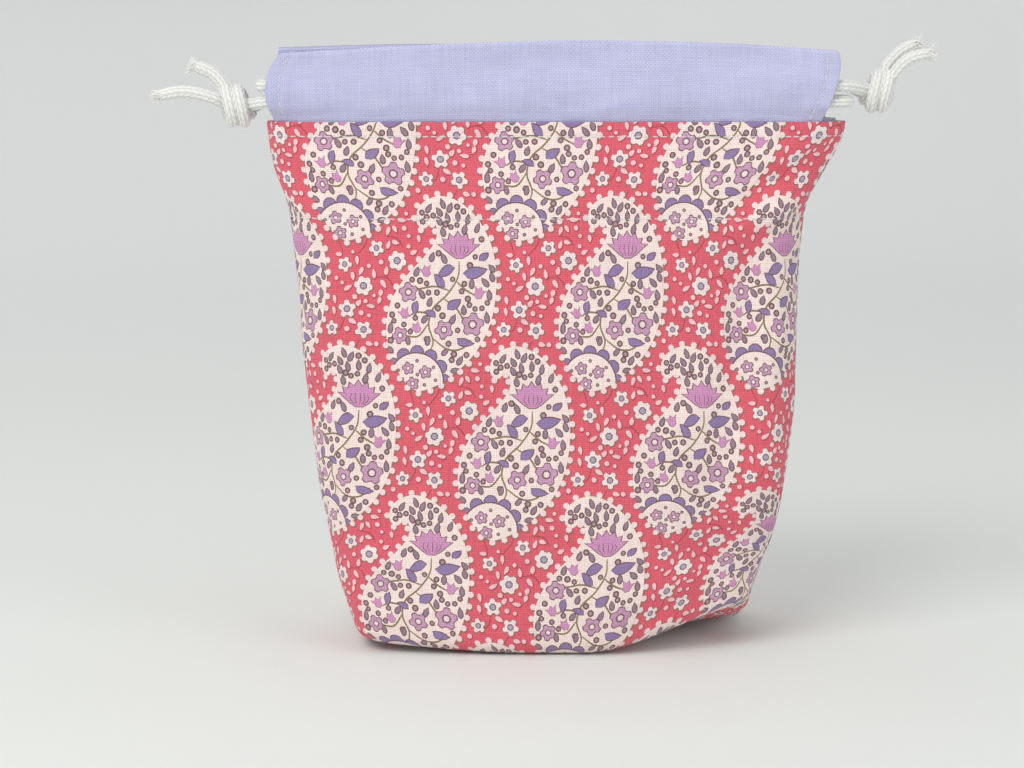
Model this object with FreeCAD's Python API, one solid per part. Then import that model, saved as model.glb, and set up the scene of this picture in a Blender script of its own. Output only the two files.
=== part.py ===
"""Drawstring dice bag with a boxed bottom, a full lining, two casings and two draw cords.

Millimetres. +Z is up and +X is to the right as the bag faces the viewer, who is on the -Y side.
The origin is the centre of the base, on the surface that the bag stands on.
"""
import FreeCAD, Part
import math
import os

os.makedirs("parts", exist_ok=True)

V = FreeCAD.Vector

# Body: height of a section, its width, its depth and its corner radius, from the base to the mouth.
BODY_SECTIONS = (
    (0.0, 108.0, 60.0, 5.0),
    (14.0, 117.0, 57.0, 8.0),
    (45.0, 130.0, 47.0, 11.0),
    (75.0, 138.5, 40.0, 12.5),
    (98.0, 141.0, 36.0, 12.5),
    (122.0, 145.0, 29.0, 11.5),
    (136.0, 154.0, 22.5, 10.5),
    (146.0, 161.0, 19.0, 9.0),
)
BODY_HEIGHT = BODY_SECTIONS[-1][0]
MOUTH_DEPTH = BODY_SECTIONS[-1][2]
OUTER_CLOTH = 0.8
LINING_CLOTH = 0.6
SEAM_ROOM = 1.4
LINING_INSET = OUTER_CLOTH + SEAM_ROOM

# Casings: flat cloth tubes that stand on the front and back edges of the mouth.
CASING_LENGTH = 158.0
CASING_HEIGHT = 22.0
CASING_DEPTH = 5.4
CASING_CLOTH = 0.6
CASING_FOLD_RADIUS = 2.4
CASING_SEAM_TURN = 1.6
CASING_Y = (MOUTH_DEPTH - CASING_DEPTH) / 2
CASING_END = CASING_LENGTH / 2
CASING_TOP = BODY_HEIGHT + CASING_HEIGHT

# Sewing thread lines, which stand a little proud of the cloth.
THREAD_PROUD = 0.35
THREAD_WIDTH = 0.6
UPPER_STITCH_DROP = 3.6
LOWER_STITCH_DROP = 26.0
HEM_STITCH_INSET = 3.6

# Seam allowances, pressed open between the outer cloth and the lining.
ALLOWANCE_WIDTH = 5.0
ALLOWANCE_THICKNESS = 1.0
ALLOWANCE_GAP = 0.1
BASE_SEAM_LENGTH = 98.0
CORNER_SEAM_LENGTH = 48.0
CORNER_SEAM_WIDTH = 3.0
CORNER_SEAM_X = 51.0
SIDE_SEAM_BOTTOM = 3.0
SIDE_SEAM_TOP = 144.0

# Draw cords: the left cord runs low in both casings, and the right cord runs just above it.
CORD_DIAMETER = 3.5
CORD_RADIUS = CORD_DIAMETER / 2
LEFT_CORD_Z = 151.8
RIGHT_CORD_Z = 156.2
BIGHT_X = 81.5
BIGHT_START_X = 70.0
BIGHT_BEND = CORD_DIAMETER
BODY_GAP = 0.3
CASING_EXIT_X = 80.1

# Knots: their centres, and their half length along X and largest radius round X.
LEFT_KNOT = (-87.8, 0.0, 150.5)
RIGHT_KNOT = (89.4, 0.0, 154.5)
KNOT_HALF_LENGTH = 6.0
KNOT_RADIUS = 6.3

# Where each cord's strands end, beside its knot, on the front (-Y) side.
LEFT_STRAND_END = (-82.7, -4.5, 151.3)
RIGHT_STRAND_END = (83.9, -4.0, 155.6)

# Routes of the tails, from inside the knot to the frayed tip.
TAIL_ROUTES = {
    "left_tail_lower": ((-89.5, -1.9, 151.6), (-100.0, -3.0, 154.3), (-109.6, -3.4, 153.4)),
    "left_tail_upper": ((-88.8, 2.0, 153.0), (-94.5, 3.2, 158.6), (-100.6, 3.6, 161.4)),
    "right_tail_front": ((91.2, -1.9, 156.4), (96.4, -2.8, 162.3), (103.6, -3.0, 164.8)),
    "right_tail_back": ((90.4, 2.0, 157.2), (94.6, 3.0, 163.4), (101.0, 3.4, 167.6)),
}


def section_wire(z, width, depth, radius):
    """A rounded rectangle at height z, always drawn from the same corner in the same order."""
    a = width / 2
    b = depth / 2
    k = radius * (1 - math.sqrt(0.5))
    edges = [
        Part.LineSegment(V(-a + radius, -b, z), V(a - radius, -b, z)),
        Part.Arc(V(a - radius, -b, z), V(a - k, -b + k, z), V(a, -b + radius, z)),
        Part.LineSegment(V(a, -b + radius, z), V(a, b - radius, z)),
        Part.Arc(V(a, b - radius, z), V(a - k, b - k, z), V(a - radius, b, z)),
        Part.LineSegment(V(a - radius, b, z), V(-a + radius, b, z)),
        Part.Arc(V(-a + radius, b, z), V(-a + k, b - k, z), V(-a, b - radius, z)),
        Part.LineSegment(V(-a, b - radius, z), V(-a, -b + radius, z)),
        Part.Arc(V(-a, -b + radius, z), V(-a + k, -b + k, z), V(-a + radius, -b, z)),
    ]
    return Part.Wire([edge.toShape() for edge in edges])


def body_solid(inset):
    """The body's form, drawn in by inset all round and at the base."""
    wires = []
    for z, width, depth, radius in BODY_SECTIONS:
        height = max(z, inset)
        wires.append(section_wire(height, width - 2 * inset, depth - 2 * inset, radius - inset))
    return Part.makeLoft(wires, True, False)


def box(low, high):
    return Part.makeBox(high[0] - low[0], high[1] - low[1], high[2] - low[2], V(*low))


def half_space(front):
    """A block that holds everything in front of, or behind, the plane of the side seams."""
    if front:
        return box((-200, -100, -50), (200, 0, 300))
    return box((-200, 0, -50), (200, 100, 300))


def bag_layer(inset, cloth):
    """One layer of the bag, open at the mouth."""
    return body_solid(inset).cut(body_solid(inset + cloth))


def panel(inset, cloth, front):
    """The front or back half of a layer, with its half of the boxed bottom."""
    return bag_layer(inset, cloth).common(half_space(front))


def body_stitch_line(drop):
    """A line of stitches round the body, at a distance below the mouth."""
    z = BODY_HEIGHT - drop
    slab = box((-200, -100, z - THREAD_WIDTH / 2), (200, 100, z + THREAD_WIDTH / 2))
    return body_solid(-THREAD_PROUD).common(slab).cut(body_solid(0.0))


def casing_profile(y, grow, z_low, z_high, radius, x):
    """A rounded upright rectangle across a casing, at X = x."""
    a = CASING_DEPTH / 2 + grow
    k = radius * (1 - math.sqrt(0.5))
    edges = [
        Part.LineSegment(V(x, y - a, z_low + radius), V(x, y - a, z_high - radius)),
        Part.Arc(V(x, y - a, z_high - radius), V(x, y - a + k, z_high - k), V(x, y - a + radius, z_high)),
        Part.LineSegment(V(x, y - a + radius, z_high), V(x, y + a - radius, z_high)),
        Part.Arc(V(x, y + a - radius, z_high), V(x, y + a - k, z_high - k), V(x, y + a, z_high - radius)),
        Part.LineSegment(V(x, y + a, z_high - radius), V(x, y + a, z_low + radius)),
        Part.Arc(V(x, y + a, z_low + radius), V(x, y + a - k, z_low + k), V(x, y + a - radius, z_low)),
        Part.LineSegment(V(x, y + a - radius, z_low), V(x, y - a + radius, z_low)),
        Part.Arc(V(x, y - a + radius, z_low), V(x, y - a + k, z_low + k), V(x, y - a, z_low + radius)),
    ]
    return Part.Face(Part.Wire([edge.toShape() for edge in edges]))


def casing_outline(y, grow, x, length):
    """The outside of a casing, grown by grow, over a length from X = x."""
    face = casing_profile(y, grow, BODY_HEIGHT - grow, CASING_TOP + grow, CASING_FOLD_RADIUS + grow, x)
    return face.extrude(V(length, 0, 0))


def casing(y):
    """A flat tube of folded cloth, open at both ends for the cords."""
    channel_low = BODY_HEIGHT + CASING_SEAM_TURN
    channel_high = CASING_TOP - CASING_CLOTH
    inner_radius = CASING_FOLD_RADIUS - CASING_CLOTH
    channel = casing_profile(y, -CASING_CLOTH, channel_low, channel_high, inner_radius, -CASING_END - 1)
    outside = casing_outline(y, 0.0, -CASING_END, CASING_LENGTH)
    return outside.cut(channel.extrude(V(CASING_LENGTH + 2, 0, 0)))


def hem_stitch_line(y, side):
    """Stitches that hold the hem at one end of a casing, up one face, over the fold and down the other."""
    x = side * (CASING_END - HEM_STITCH_INSET) - THREAD_WIDTH / 2
    ring = casing_outline(y, THREAD_PROUD, x, THREAD_WIDTH).cut(casing_outline(y, 0.0, x - 1, THREAD_WIDTH + 2))
    below = box((-200, -100, 0), (200, 100, BODY_HEIGHT + CASING_SEAM_TURN))
    return ring.cut(below)


def side_seam(side):
    """The pressed-open allowance of a side seam, which follows the inside of the outer cloth."""
    start = OUTER_CLOTH + ALLOWANCE_GAP
    layer = body_solid(start).cut(body_solid(start + ALLOWANCE_THICKNESS))
    near = min(side * 40.0, side * 200.0)
    far = max(side * 40.0, side * 200.0)
    half = ALLOWANCE_WIDTH / 2
    return layer.common(box((near, -half, SIDE_SEAM_BOTTOM), (far, half, SIDE_SEAM_TOP)))


def base_strip(x, length_x, length_y):
    """A flat strip of seam allowance on the inside of the base."""
    low = OUTER_CLOTH + ALLOWANCE_GAP
    return box(
        (x - length_x / 2, -length_y / 2, low), (x + length_x / 2, length_y / 2, low + ALLOWANCE_THICKNESS)
    )


def cord_path(points, bend):
    """Straight runs joined by tangent arcs. With no bend given, each arc is as large as its runs allow."""
    points = [V(*p) for p in points]
    edges = []
    radii = []
    start = points[0]
    for before, corner, after in zip(points, points[1:], points[2:]):
        back = (before - corner).normalize()
        ahead = (after - corner).normalize()
        half_turn = (math.pi - back.getAngle(ahead)) / 2
        shorter = min(before.distanceToPoint(corner), corner.distanceToPoint(after))
        radius = bend or 0.45 * shorter / math.tan(half_turn)
        reach = radius * math.tan(half_turn)
        first = corner + back * reach
        last = corner + ahead * reach
        inward = (back + ahead).normalize()
        middle = corner + inward * (radius / math.cos(half_turn) - radius)
        edges.append(Part.LineSegment(start, first).toShape())
        edges.append(Part.Arc(first, middle, last).toShape())
        radii.append(radius)
        start = last
    edges.append(Part.LineSegment(start, points[-1]).toShape())
    return Part.Wire(edges), radii


def cord_tube(name, points, bend=None):
    """A plain round tube along a route, with its radii and its volume printed."""
    path, radii = cord_path(points, bend)
    direction = V(*points[1]) - V(*points[0])
    profile = Part.Wire(Part.makeCircle(CORD_RADIUS, V(*points[0]), direction))
    tube = path.makePipeShell([profile], True, True)
    expected = math.pi * CORD_RADIUS ** 2 * path.Length
    shown = ", ".join("%.1f" % r for r in radii)
    print("%s: length %.1f, bend radii %s, volume ratio %.4f" % (name, path.Length, shown, tube.Volume / expected))
    return tube


def knot(centre):
    """The outer form of a tightened overhand knot: an ellipsoid, round about X."""
    flatten = FreeCAD.Matrix()
    flatten.scale(KNOT_HALF_LENGTH / KNOT_RADIUS, 1.0, 1.0)
    solid = Part.makeSphere(KNOT_RADIUS).transformGeometry(flatten)
    solid.translate(V(*centre))
    return solid


def draw_cord_runs(name, side, z, strand_end):
    """The two runs of a cord, from the bight at the far end of the bag to the strands beside the knot."""
    solids = {}
    start_x = -side * (BIGHT_START_X - BODY_GAP)
    exit_x = side * CASING_EXIT_X
    for place, sign in (("front", 1), ("back", -1)):
        y = -sign * CASING_Y
        end = (strand_end[0], sign * strand_end[1], strand_end[2])
        node = "%s_cord_%s_run" % (name, place)
        solids[node] = cord_tube(node, ((start_x, y, z), (exit_x, y, z), end))
    return solids


def bight(name, side, z):
    """The fold of a cord round the outside of the casing ends, opposite its knot."""
    x = -side * BIGHT_X
    start = -side * BIGHT_START_X
    route = ((start, -CASING_Y, z), (x, -CASING_Y, z), (x, CASING_Y, z), (start, CASING_Y, z))
    node = "%s_cord_bight" % name
    return {node: cord_tube(node, route, BIGHT_BEND)}


def build_cords():
    solids = {}
    for name, side, z, knot_centre, strand_end in (
        ("left", -1, LEFT_CORD_Z, LEFT_KNOT, LEFT_STRAND_END),
        ("right", 1, RIGHT_CORD_Z, RIGHT_KNOT, RIGHT_STRAND_END),
    ):
        solids.update(draw_cord_runs(name, side, z, strand_end))
        solids.update(bight(name, side, z))
        solids[name + "_knot"] = knot(knot_centre)
    for node, route in TAIL_ROUTES.items():
        side_name = node.split("_")[0]
        solids[node] = cord_tube(node, route).cut(solids[side_name + "_knot"])
    return solids


def build_bag():
    solids = {
        "outer_front_panel": panel(0.0, OUTER_CLOTH, True),
        "outer_back_panel": panel(0.0, OUTER_CLOTH, False),
        "lining_front_panel": panel(LINING_INSET, LINING_CLOTH, True),
        "lining_back_panel": panel(LINING_INSET, LINING_CLOTH, False),
        "casing_front": casing(-CASING_Y),
        "casing_back": casing(CASING_Y),
        "upper_topstitch": body_stitch_line(UPPER_STITCH_DROP),
        "lower_topstitch": body_stitch_line(LOWER_STITCH_DROP),
        "base_seam": base_strip(0.0, BASE_SEAM_LENGTH, ALLOWANCE_WIDTH),
    }
    for side_name, side in (("left", -1), ("right", 1)):
        solids["hem_stitch_front_" + side_name] = hem_stitch_line(-CASING_Y, side)
        solids["hem_stitch_back_" + side_name] = hem_stitch_line(CASING_Y, side)
        solids["side_seam_" + side_name] = side_seam(side)
        corner_x = side * CORNER_SEAM_X
        solids["box_corner_seam_" + side_name] = base_strip(corner_x, CORNER_SEAM_WIDTH, CORNER_SEAM_LENGTH)
    return solids


def main():
    solids = build_bag()
    solids.update(build_cords())
    for node, shape in solids.items():
        shape.exportStep("parts/%s.step" % node)


main()
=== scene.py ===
"""The looks of the drawstring dice bag: printed cotton body, lavender casings and lining, braided cords."""
import math
import random

import bpy
import numpy as np
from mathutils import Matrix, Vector
from mathutils.geometry import delaunay_2d_cdt


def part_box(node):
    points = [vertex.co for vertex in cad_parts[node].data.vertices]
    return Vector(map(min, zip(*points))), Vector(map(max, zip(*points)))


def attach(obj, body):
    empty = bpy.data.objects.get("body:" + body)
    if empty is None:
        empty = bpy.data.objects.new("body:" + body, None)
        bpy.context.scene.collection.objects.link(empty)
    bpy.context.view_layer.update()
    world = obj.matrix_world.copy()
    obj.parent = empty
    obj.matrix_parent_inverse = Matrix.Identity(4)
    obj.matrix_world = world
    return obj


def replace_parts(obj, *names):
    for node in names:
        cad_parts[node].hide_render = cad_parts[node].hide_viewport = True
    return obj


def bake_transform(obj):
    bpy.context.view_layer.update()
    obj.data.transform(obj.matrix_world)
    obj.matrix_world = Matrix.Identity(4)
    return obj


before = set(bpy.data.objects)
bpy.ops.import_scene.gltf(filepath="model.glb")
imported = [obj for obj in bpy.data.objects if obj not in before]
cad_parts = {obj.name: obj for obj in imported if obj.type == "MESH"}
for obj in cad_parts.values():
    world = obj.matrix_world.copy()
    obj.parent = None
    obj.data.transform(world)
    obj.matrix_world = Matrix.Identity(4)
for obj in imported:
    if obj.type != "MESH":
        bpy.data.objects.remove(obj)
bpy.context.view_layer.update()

# Everything below is worked out in millimetres, and meshes are scaled to metres as they are made.
MM = 0.001


def box_mm(node):
    """The low and high corners of a CAD part, in millimetres."""
    low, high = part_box(node)
    return np.array(low) / MM, np.array(high) / MM


CASING_LOW, CASING_HIGH = box_mm("casing_front")
UPPER_STITCH_Z = float(np.mean([box_mm("upper_topstitch")[k][2] for k in (0, 1)]))
LOWER_STITCH_Z = float(np.mean([box_mm("lower_topstitch")[k][2] for k in (0, 1)]))
HEM_STITCH_X = float(np.mean([box_mm("hem_stitch_front_right")[k][0] for k in (0, 1)]))
BODY_TOP = float(box_mm("outer_front_panel")[1][2])
CASING_Y = float(-(CASING_LOW[1] + CASING_HIGH[1]) / 2)
CASING_END = float(CASING_HIGH[0])
CORD_DIAMETER = 3.5
CORD_RADIUS = CORD_DIAMETER / 2


# ---------------------------------------------------------------- small tools

def srgb(red, green, blue):
    """A colour given as on a screen, 0 to 255, in the linear values that shaders take."""
    out = []
    for value in (red, green, blue):
        c = value / 255
        out.append(c / 12.92 if c <= 0.04045 else ((c + 0.055) / 1.055) ** 2.4)
    return (*out, 1.0)


def smooth(x, low, high):
    """0 below low, 1 above high and a smooth step between them."""
    t = np.clip((x - low) / (high - low), 0.0, 1.0)
    return t * t * (3 - 2 * t)


def bump(x, centre, width):
    """A smooth hill of height 1 at the centre."""
    return np.exp(-(((x - centre) / width) ** 2))


def spline(points, steps, closed=False):
    """A Catmull-Rom curve through points, with steps samples to each span."""
    p = np.array(points, float)
    if closed:
        p = np.vstack([p[-1], p, p[0], p[1]])
    else:
        p = np.vstack([2 * p[0] - p[1], p, 2 * p[-1] - p[-2]])
    out = []
    for i in range(1, len(p) - 2):
        for t in np.arange(steps) / steps:
            a, b, c, d = p[i - 1 : i + 3]
            curved = (2 * a - 5 * b + 4 * c - d) * t**2 + (3 * b - a - 3 * c + d) * t**3
            out.append(0.5 * (2 * b + (c - a) * t + curved))
    if not closed:
        out.append(p[-2])
    return np.array(out)


def distances(points):
    """How far along a line each of its points is."""
    return np.concatenate([[0.0], np.cumsum(np.linalg.norm(np.diff(points, axis=0), axis=1))])


def read_along(at, far, points):
    """Points at chosen distances along a line whose own points are at the distances far."""
    return np.column_stack([np.interp(at, far, points[:, k]) for k in range(points.shape[1])])


def new_object(name, verts, faces, material):
    """A smooth-shaded mesh object from millimetre points."""
    mesh = bpy.data.meshes.new(name)
    places = [tuple(v) for v in np.asarray(verts) * MM]
    mesh.from_pydata(places, [], [tuple(int(i) for i in f) for f in faces])
    mesh.validate()
    mesh.update()
    mesh.shade_smooth()
    mesh.materials.append(material)
    made = bpy.data.objects.new(name, mesh)
    bpy.context.scene.collection.objects.link(made)
    return made


def grid_faces(rows, columns, closed_columns=False):
    """Quads of a grid whose point (i, j) has index i * columns + j."""
    faces = []
    for i in range(rows - 1):
        for j in range(columns if closed_columns else columns - 1):
            a = i * columns + j
            b = i * columns + (j + 1) % columns
            c = (i + 1) * columns + (j + 1) % columns
            d = (i + 1) * columns + j
            faces.append((a, b, c, d))
    return faces


def point_attribute(made, name, values):
    """Stores a vector for each vertex, for the material to read."""
    layer = made.data.attributes.new(name, "FLOAT_VECTOR", "POINT")
    layer.data.foreach_set("vector", np.asarray(values, np.float32).ravel())


# ---------------------------------------------------------------- camera, light and stage

VIEW_CENTRE = Vector((-0.0119, 0.0, 0.072))
VIEW_DISTANCE = 0.700
VIEW_ELEVATION = math.radians(8.5)
VIEW_LENS = 86.7
SENSOR_WIDTH = 36.0
WORLD_STRENGTH = 0.285
# How strongly the backdrop paper glows: painted light, since the paper is no lamp.
PAPER_GLOW = 0.105
BAG_MIDDLE = (0, 0, 0.08)
LIGHTS = (
    # name, place, aim, size, power, colour
    ("key_softbox", (-0.55, -0.75, 0.95), BAG_MIDDLE, (0.8, 0.6), 7.25, (1.0, 0.985, 0.965)),
    ("fill_softbox", (0.85, -0.6, 0.6), BAG_MIDDLE, (0.8, 0.8), 1.75, (0.96, 0.98, 1.0)),
    ("top_softbox", (0.0, 0.1, 1.2), (0, 0, 0), (1.2, 1.0), 3.45, (1, 1, 1)),
    ("back_softbox", (-0.3, 1.1, 0.75), BAG_MIDDLE, (1.5, 1.0), 1.2, (1, 1, 1)),
)


def make_camera():
    """A long lens, a little above the bag, that looks at its front."""
    camera = bpy.data.objects.new("camera", bpy.data.cameras.new("camera"))
    bpy.context.scene.collection.objects.link(camera)
    away = Vector((0, -math.cos(VIEW_ELEVATION), math.sin(VIEW_ELEVATION)))
    camera.location = VIEW_CENTRE + away * VIEW_DISTANCE
    camera.rotation_euler = (-away).to_track_quat("-Z", "Y").to_euler()
    camera.data.lens = VIEW_LENS
    camera.data.sensor_width = SENSOR_WIDTH
    camera.data.clip_start = 0.01
    bpy.context.scene.camera = camera


def area_light(name, location, target, size, power, colour):
    """A rectangular softbox turned towards its target."""
    data = bpy.data.lights.new(name, "AREA")
    data.shape = "RECTANGLE"
    data.size, data.size_y = size
    data.energy = power
    data.color = colour
    made = bpy.data.objects.new(name, data)
    made.location = location
    made.rotation_euler = (Vector(target) - Vector(location)).to_track_quat("-Z", "Y").to_euler()
    bpy.context.scene.collection.objects.link(made)


def backdrop_paper():
    """Matt paper with painted shade and light where it turns up at the back: its colour there is a little
    darker, and it glows.
    """
    n = Nodes("backdrop_paper")
    shade = n.attribute("shade", "Fac")
    grain = n.noise(n.attribute("shade"), 3.0)
    tone = n.mix(n.math("MULTIPLY", grain, 0.04), srgb(237, 240, 237), srgb(229, 232, 229))
    # Painted light: the paper glows, more towards the wall, to brighten the backdrop.
    n.put(n.shader.inputs["Emission Color"], n.mix(shade, (0, 0, 0, 1), (1, 1, 0.99, 1)))
    n.shader.inputs["Emission Strength"].default_value = PAPER_GLOW
    # Painted shade: the paper's colour is a little darker towards the wall.
    return n.finish(n.mix(shade, tone, srgb(232, 234, 233)), 0.9, specular=0.2)


def make_stage():
    """A pale round floor that curves up all round into a low wall, so no edge shows from any side."""
    floor_end, radius, height, around = 1000.0, 550.0, 900.0, 72
    profile = [(1.0, 0.0)] + [(floor_end * k / 12, 0.0) for k in range(1, 13)]
    for k in range(1, 17):
        angle = k / 16 * math.pi / 2
        profile.append((floor_end + radius * math.sin(angle), radius - radius * math.cos(angle)))
    profile.append((floor_end + radius, height))
    verts, shade = [], []
    for far, z in profile:
        for k in range(around):
            angle = 2 * math.pi * k / around
            verts.append((far * math.cos(angle), far * math.sin(angle), z))
            # How far towards the wall each point is, 0 near the bag and 1 up the wall; the paper's painted
            # shade and glow follow it.
            shade.append((float(smooth(far, 150, 1250)),) * 3)
    faces = grid_faces(len(profile), around, closed_columns=True)
    faces.append(tuple(range(around)))
    sweep = new_object("backdrop", verts, faces, backdrop_paper())
    point_attribute(sweep, "shade", shade)
    world = bpy.data.worlds.new("studio")
    world.use_nodes = True
    background = world.node_tree.nodes["Background"]
    background.inputs["Color"].default_value = (0.98, 0.99, 1.0, 1.0)
    background.inputs["Strength"].default_value = WORLD_STRENGTH
    bpy.context.scene.world = world
    for light in LIGHTS:
        area_light(*light)
    bpy.context.scene.view_settings.view_transform = "Standard"


# ---------------------------------------------------------------- materials

class Nodes:
    """Short ways to add shader nodes."""

    def __init__(self, name):
        self.material = bpy.data.materials.new(name)
        self.material.use_nodes = True
        self.tree = self.material.node_tree
        self.shader = self.tree.nodes["Principled BSDF"]

    def link(self, source, target):
        self.tree.links.new(source, target)

    def put(self, socket, value):
        if isinstance(value, bpy.types.NodeSocket):
            self.link(value, socket)
        else:
            socket.default_value = value

    def math(self, operation, a, b=0.0, c=0.0):
        node = self.tree.nodes.new("ShaderNodeMath")
        node.operation = operation
        for socket, value in zip(node.inputs, (a, b, c)):
            self.put(socket, value)
        return node.outputs[0]

    def noise(self, vector, scale, detail=2.0, roughness=0.5):
        node = self.tree.nodes.new("ShaderNodeTexNoise")
        self.put(node.inputs["Vector"], vector)
        node.inputs["Scale"].default_value = scale
        node.inputs["Detail"].default_value = detail
        node.inputs["Roughness"].default_value = roughness
        return node.outputs["Fac"]

    def attribute(self, name, output="Vector"):
        node = self.tree.nodes.new("ShaderNodeAttribute")
        node.attribute_name = name
        return node.outputs[output]

    def scaled(self, vector, scale):
        node = self.tree.nodes.new("ShaderNodeVectorMath")
        node.operation = "MULTIPLY"
        self.put(node.inputs[0], vector)
        node.inputs[1].default_value = scale
        return node.outputs[0]

    def split(self, vector):
        node = self.tree.nodes.new("ShaderNodeSeparateXYZ")
        self.put(node.inputs[0], vector)
        return node.outputs

    def mix(self, factor, a, b, blend="MIX"):
        node = self.tree.nodes.new("ShaderNodeMix")
        node.data_type = "RGBA"
        node.blend_type = blend
        for key, value in ((0, factor), (6, a), (7, b)):
            self.put(node.inputs[key], value)
        return node.outputs[2]

    def grey(self, value):
        """The same value in red, green and blue."""
        node = self.tree.nodes.new("ShaderNodeCombineColor")
        for socket in node.inputs:
            self.link(value, socket)
        return node.outputs[0]

    def bump(self, height, distance, strength=1.0):
        node = self.tree.nodes.new("ShaderNodeBump")
        self.put(node.inputs["Height"], height)
        node.inputs["Distance"].default_value = distance
        node.inputs["Strength"].default_value = strength
        self.link(node.outputs[0], self.shader.inputs["Normal"])

    def finish(self, colour, roughness, sheen=0.0, specular=0.5):
        self.put(self.shader.inputs["Base Color"], colour)
        self.put(self.shader.inputs["Roughness"], roughness)
        self.shader.inputs["Sheen Weight"].default_value = sheen
        self.shader.inputs["Sheen Roughness"].default_value = 0.5
        self.shader.inputs["Specular IOR Level"].default_value = specular
        return self.material


# Millimetres from thread to thread.
PRINTED_PITCH = 0.52
LAVENDER_PITCH = 0.50


def weave(n, pitch, wander):
    """Plain weave from the flat cloth coordinates in mm.

    Gives the height, 1 where the warp is on top and 0 where the weft is, and the flat coordinates.
    """
    flat = n.attribute("flat")
    unevenness = n.noise(n.scaled(flat, (0.25, 0.25, 1)), 1.0)
    drift = n.math("MULTIPLY", n.math("SUBTRACT", unevenness, 0.5), wander)
    x, y, _ = n.split(flat)
    warp_phase = n.math("MULTIPLY", n.math("ADD", x, drift), math.pi / pitch)
    weft_phase = n.math("MULTIPLY", n.math("ADD", y, drift), math.pi / pitch)
    warp_wave = n.math("SINE", warp_phase)
    weft_wave = n.math("SINE", weft_phase)
    over = n.math("MULTIPLY_ADD", n.math("MULTIPLY", warp_wave, weft_wave), 1.6, 0.5)
    over_clamped = n.math("MINIMUM", n.math("MAXIMUM", over, 0.0), 1.0)
    warp = n.math("ABSOLUTE", warp_wave)
    weft = n.math("ABSOLUTE", weft_wave)
    from_warp = n.math("MULTIPLY", warp, over_clamped)
    from_weft = n.math("MULTIPLY", weft, n.math("SUBTRACT", 1.0, over_clamped))
    return n.math("ADD", from_warp, from_weft), over_clamped, flat


def slubs(n, flat):
    """Thread-by-thread unevenness: long streaks along each thread direction."""
    along_warp = n.noise(n.scaled(flat, (2.2, 0.07, 1)), 1.0, 3.0)
    along_weft = n.noise(n.scaled(flat, (0.07, 2.2, 1)), 1.0, 3.0)
    return along_warp, along_weft


def printed_cotton():
    """Plain-weave cotton with the print in a colour attribute."""
    n = Nodes("printed_cotton")
    height, _, flat = weave(n, PRINTED_PITCH, 0.5)
    along_warp, along_weft = slubs(n, flat)
    dye = n.attribute("dye", "Color")
    # Painted shade: darker in the gaps between the threads, where the weave is low.
    gaps = n.math("MULTIPLY_ADD", height, 0.56, 0.71)
    streaks = n.math("MULTIPLY_ADD", n.math("ADD", along_warp, along_weft), 0.40, 0.62)
    fade = n.math("MULTIPLY_ADD", n.noise(n.scaled(flat, (0.03, 0.03, 1)), 1.0, 2.0), 0.14, 0.93)
    # The painted thread-gap shade, times the cloth's own streaks and slow fade.
    shade = n.math("MULTIPLY", n.math("MULTIPLY", gaps, streaks), fade)
    toned = n.mix(1.0, dye, n.grey(shade), "MULTIPLY")
    fleck = n.math("GREATER_THAN", n.noise(n.scaled(flat, (1.6, 1.6, 1)), 1.0, 4.0, 0.7), 0.66)
    colour = n.mix(n.math("MULTIPLY_ADD", fleck, 0.14, 0.05), toned, srgb(255, 244, 238))
    threads = n.math("MULTIPLY", n.math("ADD", along_warp, along_weft), 0.8)
    n.bump(n.math("ADD", height, threads), 0.00016, 1.0)
    return n.finish(colour, 0.88, sheen=0.18, specular=0.25)


def lavender_cotton():
    """Plain-weave cotton, lavender one way and paler the other, so that it looks slightly cross-dyed."""
    n = Nodes("lavender_cotton")
    height, over, flat = weave(n, LAVENDER_PITCH, 0.6)
    along_warp, along_weft = slubs(n, flat)
    warp_colour = n.mix(along_warp, srgb(160, 162, 212), srgb(216, 216, 240))
    weft_colour = n.mix(along_weft, srgb(174, 177, 220), srgb(228, 229, 250))
    cloth = n.mix(over, weft_colour, warp_colour)
    mottle = n.math("MULTIPLY_ADD", n.noise(n.scaled(flat, (0.05, 0.11, 1)), 1.0, 3.0, 0.6), 0.34, -0.17)
    # Painted shade: darker in the gaps between the threads, where the weave is low; the mottle added to it is
    # the cloth's own uneven tone.
    gaps = n.math("ADD", n.math("MULTIPLY_ADD", height, 0.34, 0.82), mottle)
    colour = n.mix(1.0, cloth, n.grey(gaps), "MULTIPLY")
    threads = n.math("MULTIPLY", n.math("ADD", along_warp, along_weft), 0.7)
    n.bump(n.math("ADD", height, threads), 0.00010, 0.9)
    return n.finish(colour, 0.9, sheen=0.2, specular=0.22)


def thread_material():
    """White sewing thread, with the twist of its plies running round it."""
    n = Nodes("white_thread")
    x, y, _ = n.split(n.attribute("flat"))
    twist = n.math("SINE", n.math("MULTIPLY_ADD", x, 16.0, n.math("MULTIPLY", y, 2.0)))
    # Painted shade: the colour darkens along the grooves between the twisted plies.
    shade = n.math("MULTIPLY_ADD", twist, 0.5, 0.5)
    colour = n.mix(shade, srgb(214, 208, 216), srgb(250, 247, 248))
    n.bump(twist, 0.00005, 0.7)
    return n.finish(colour, 0.55, sheen=0.1, specular=0.4)


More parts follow.
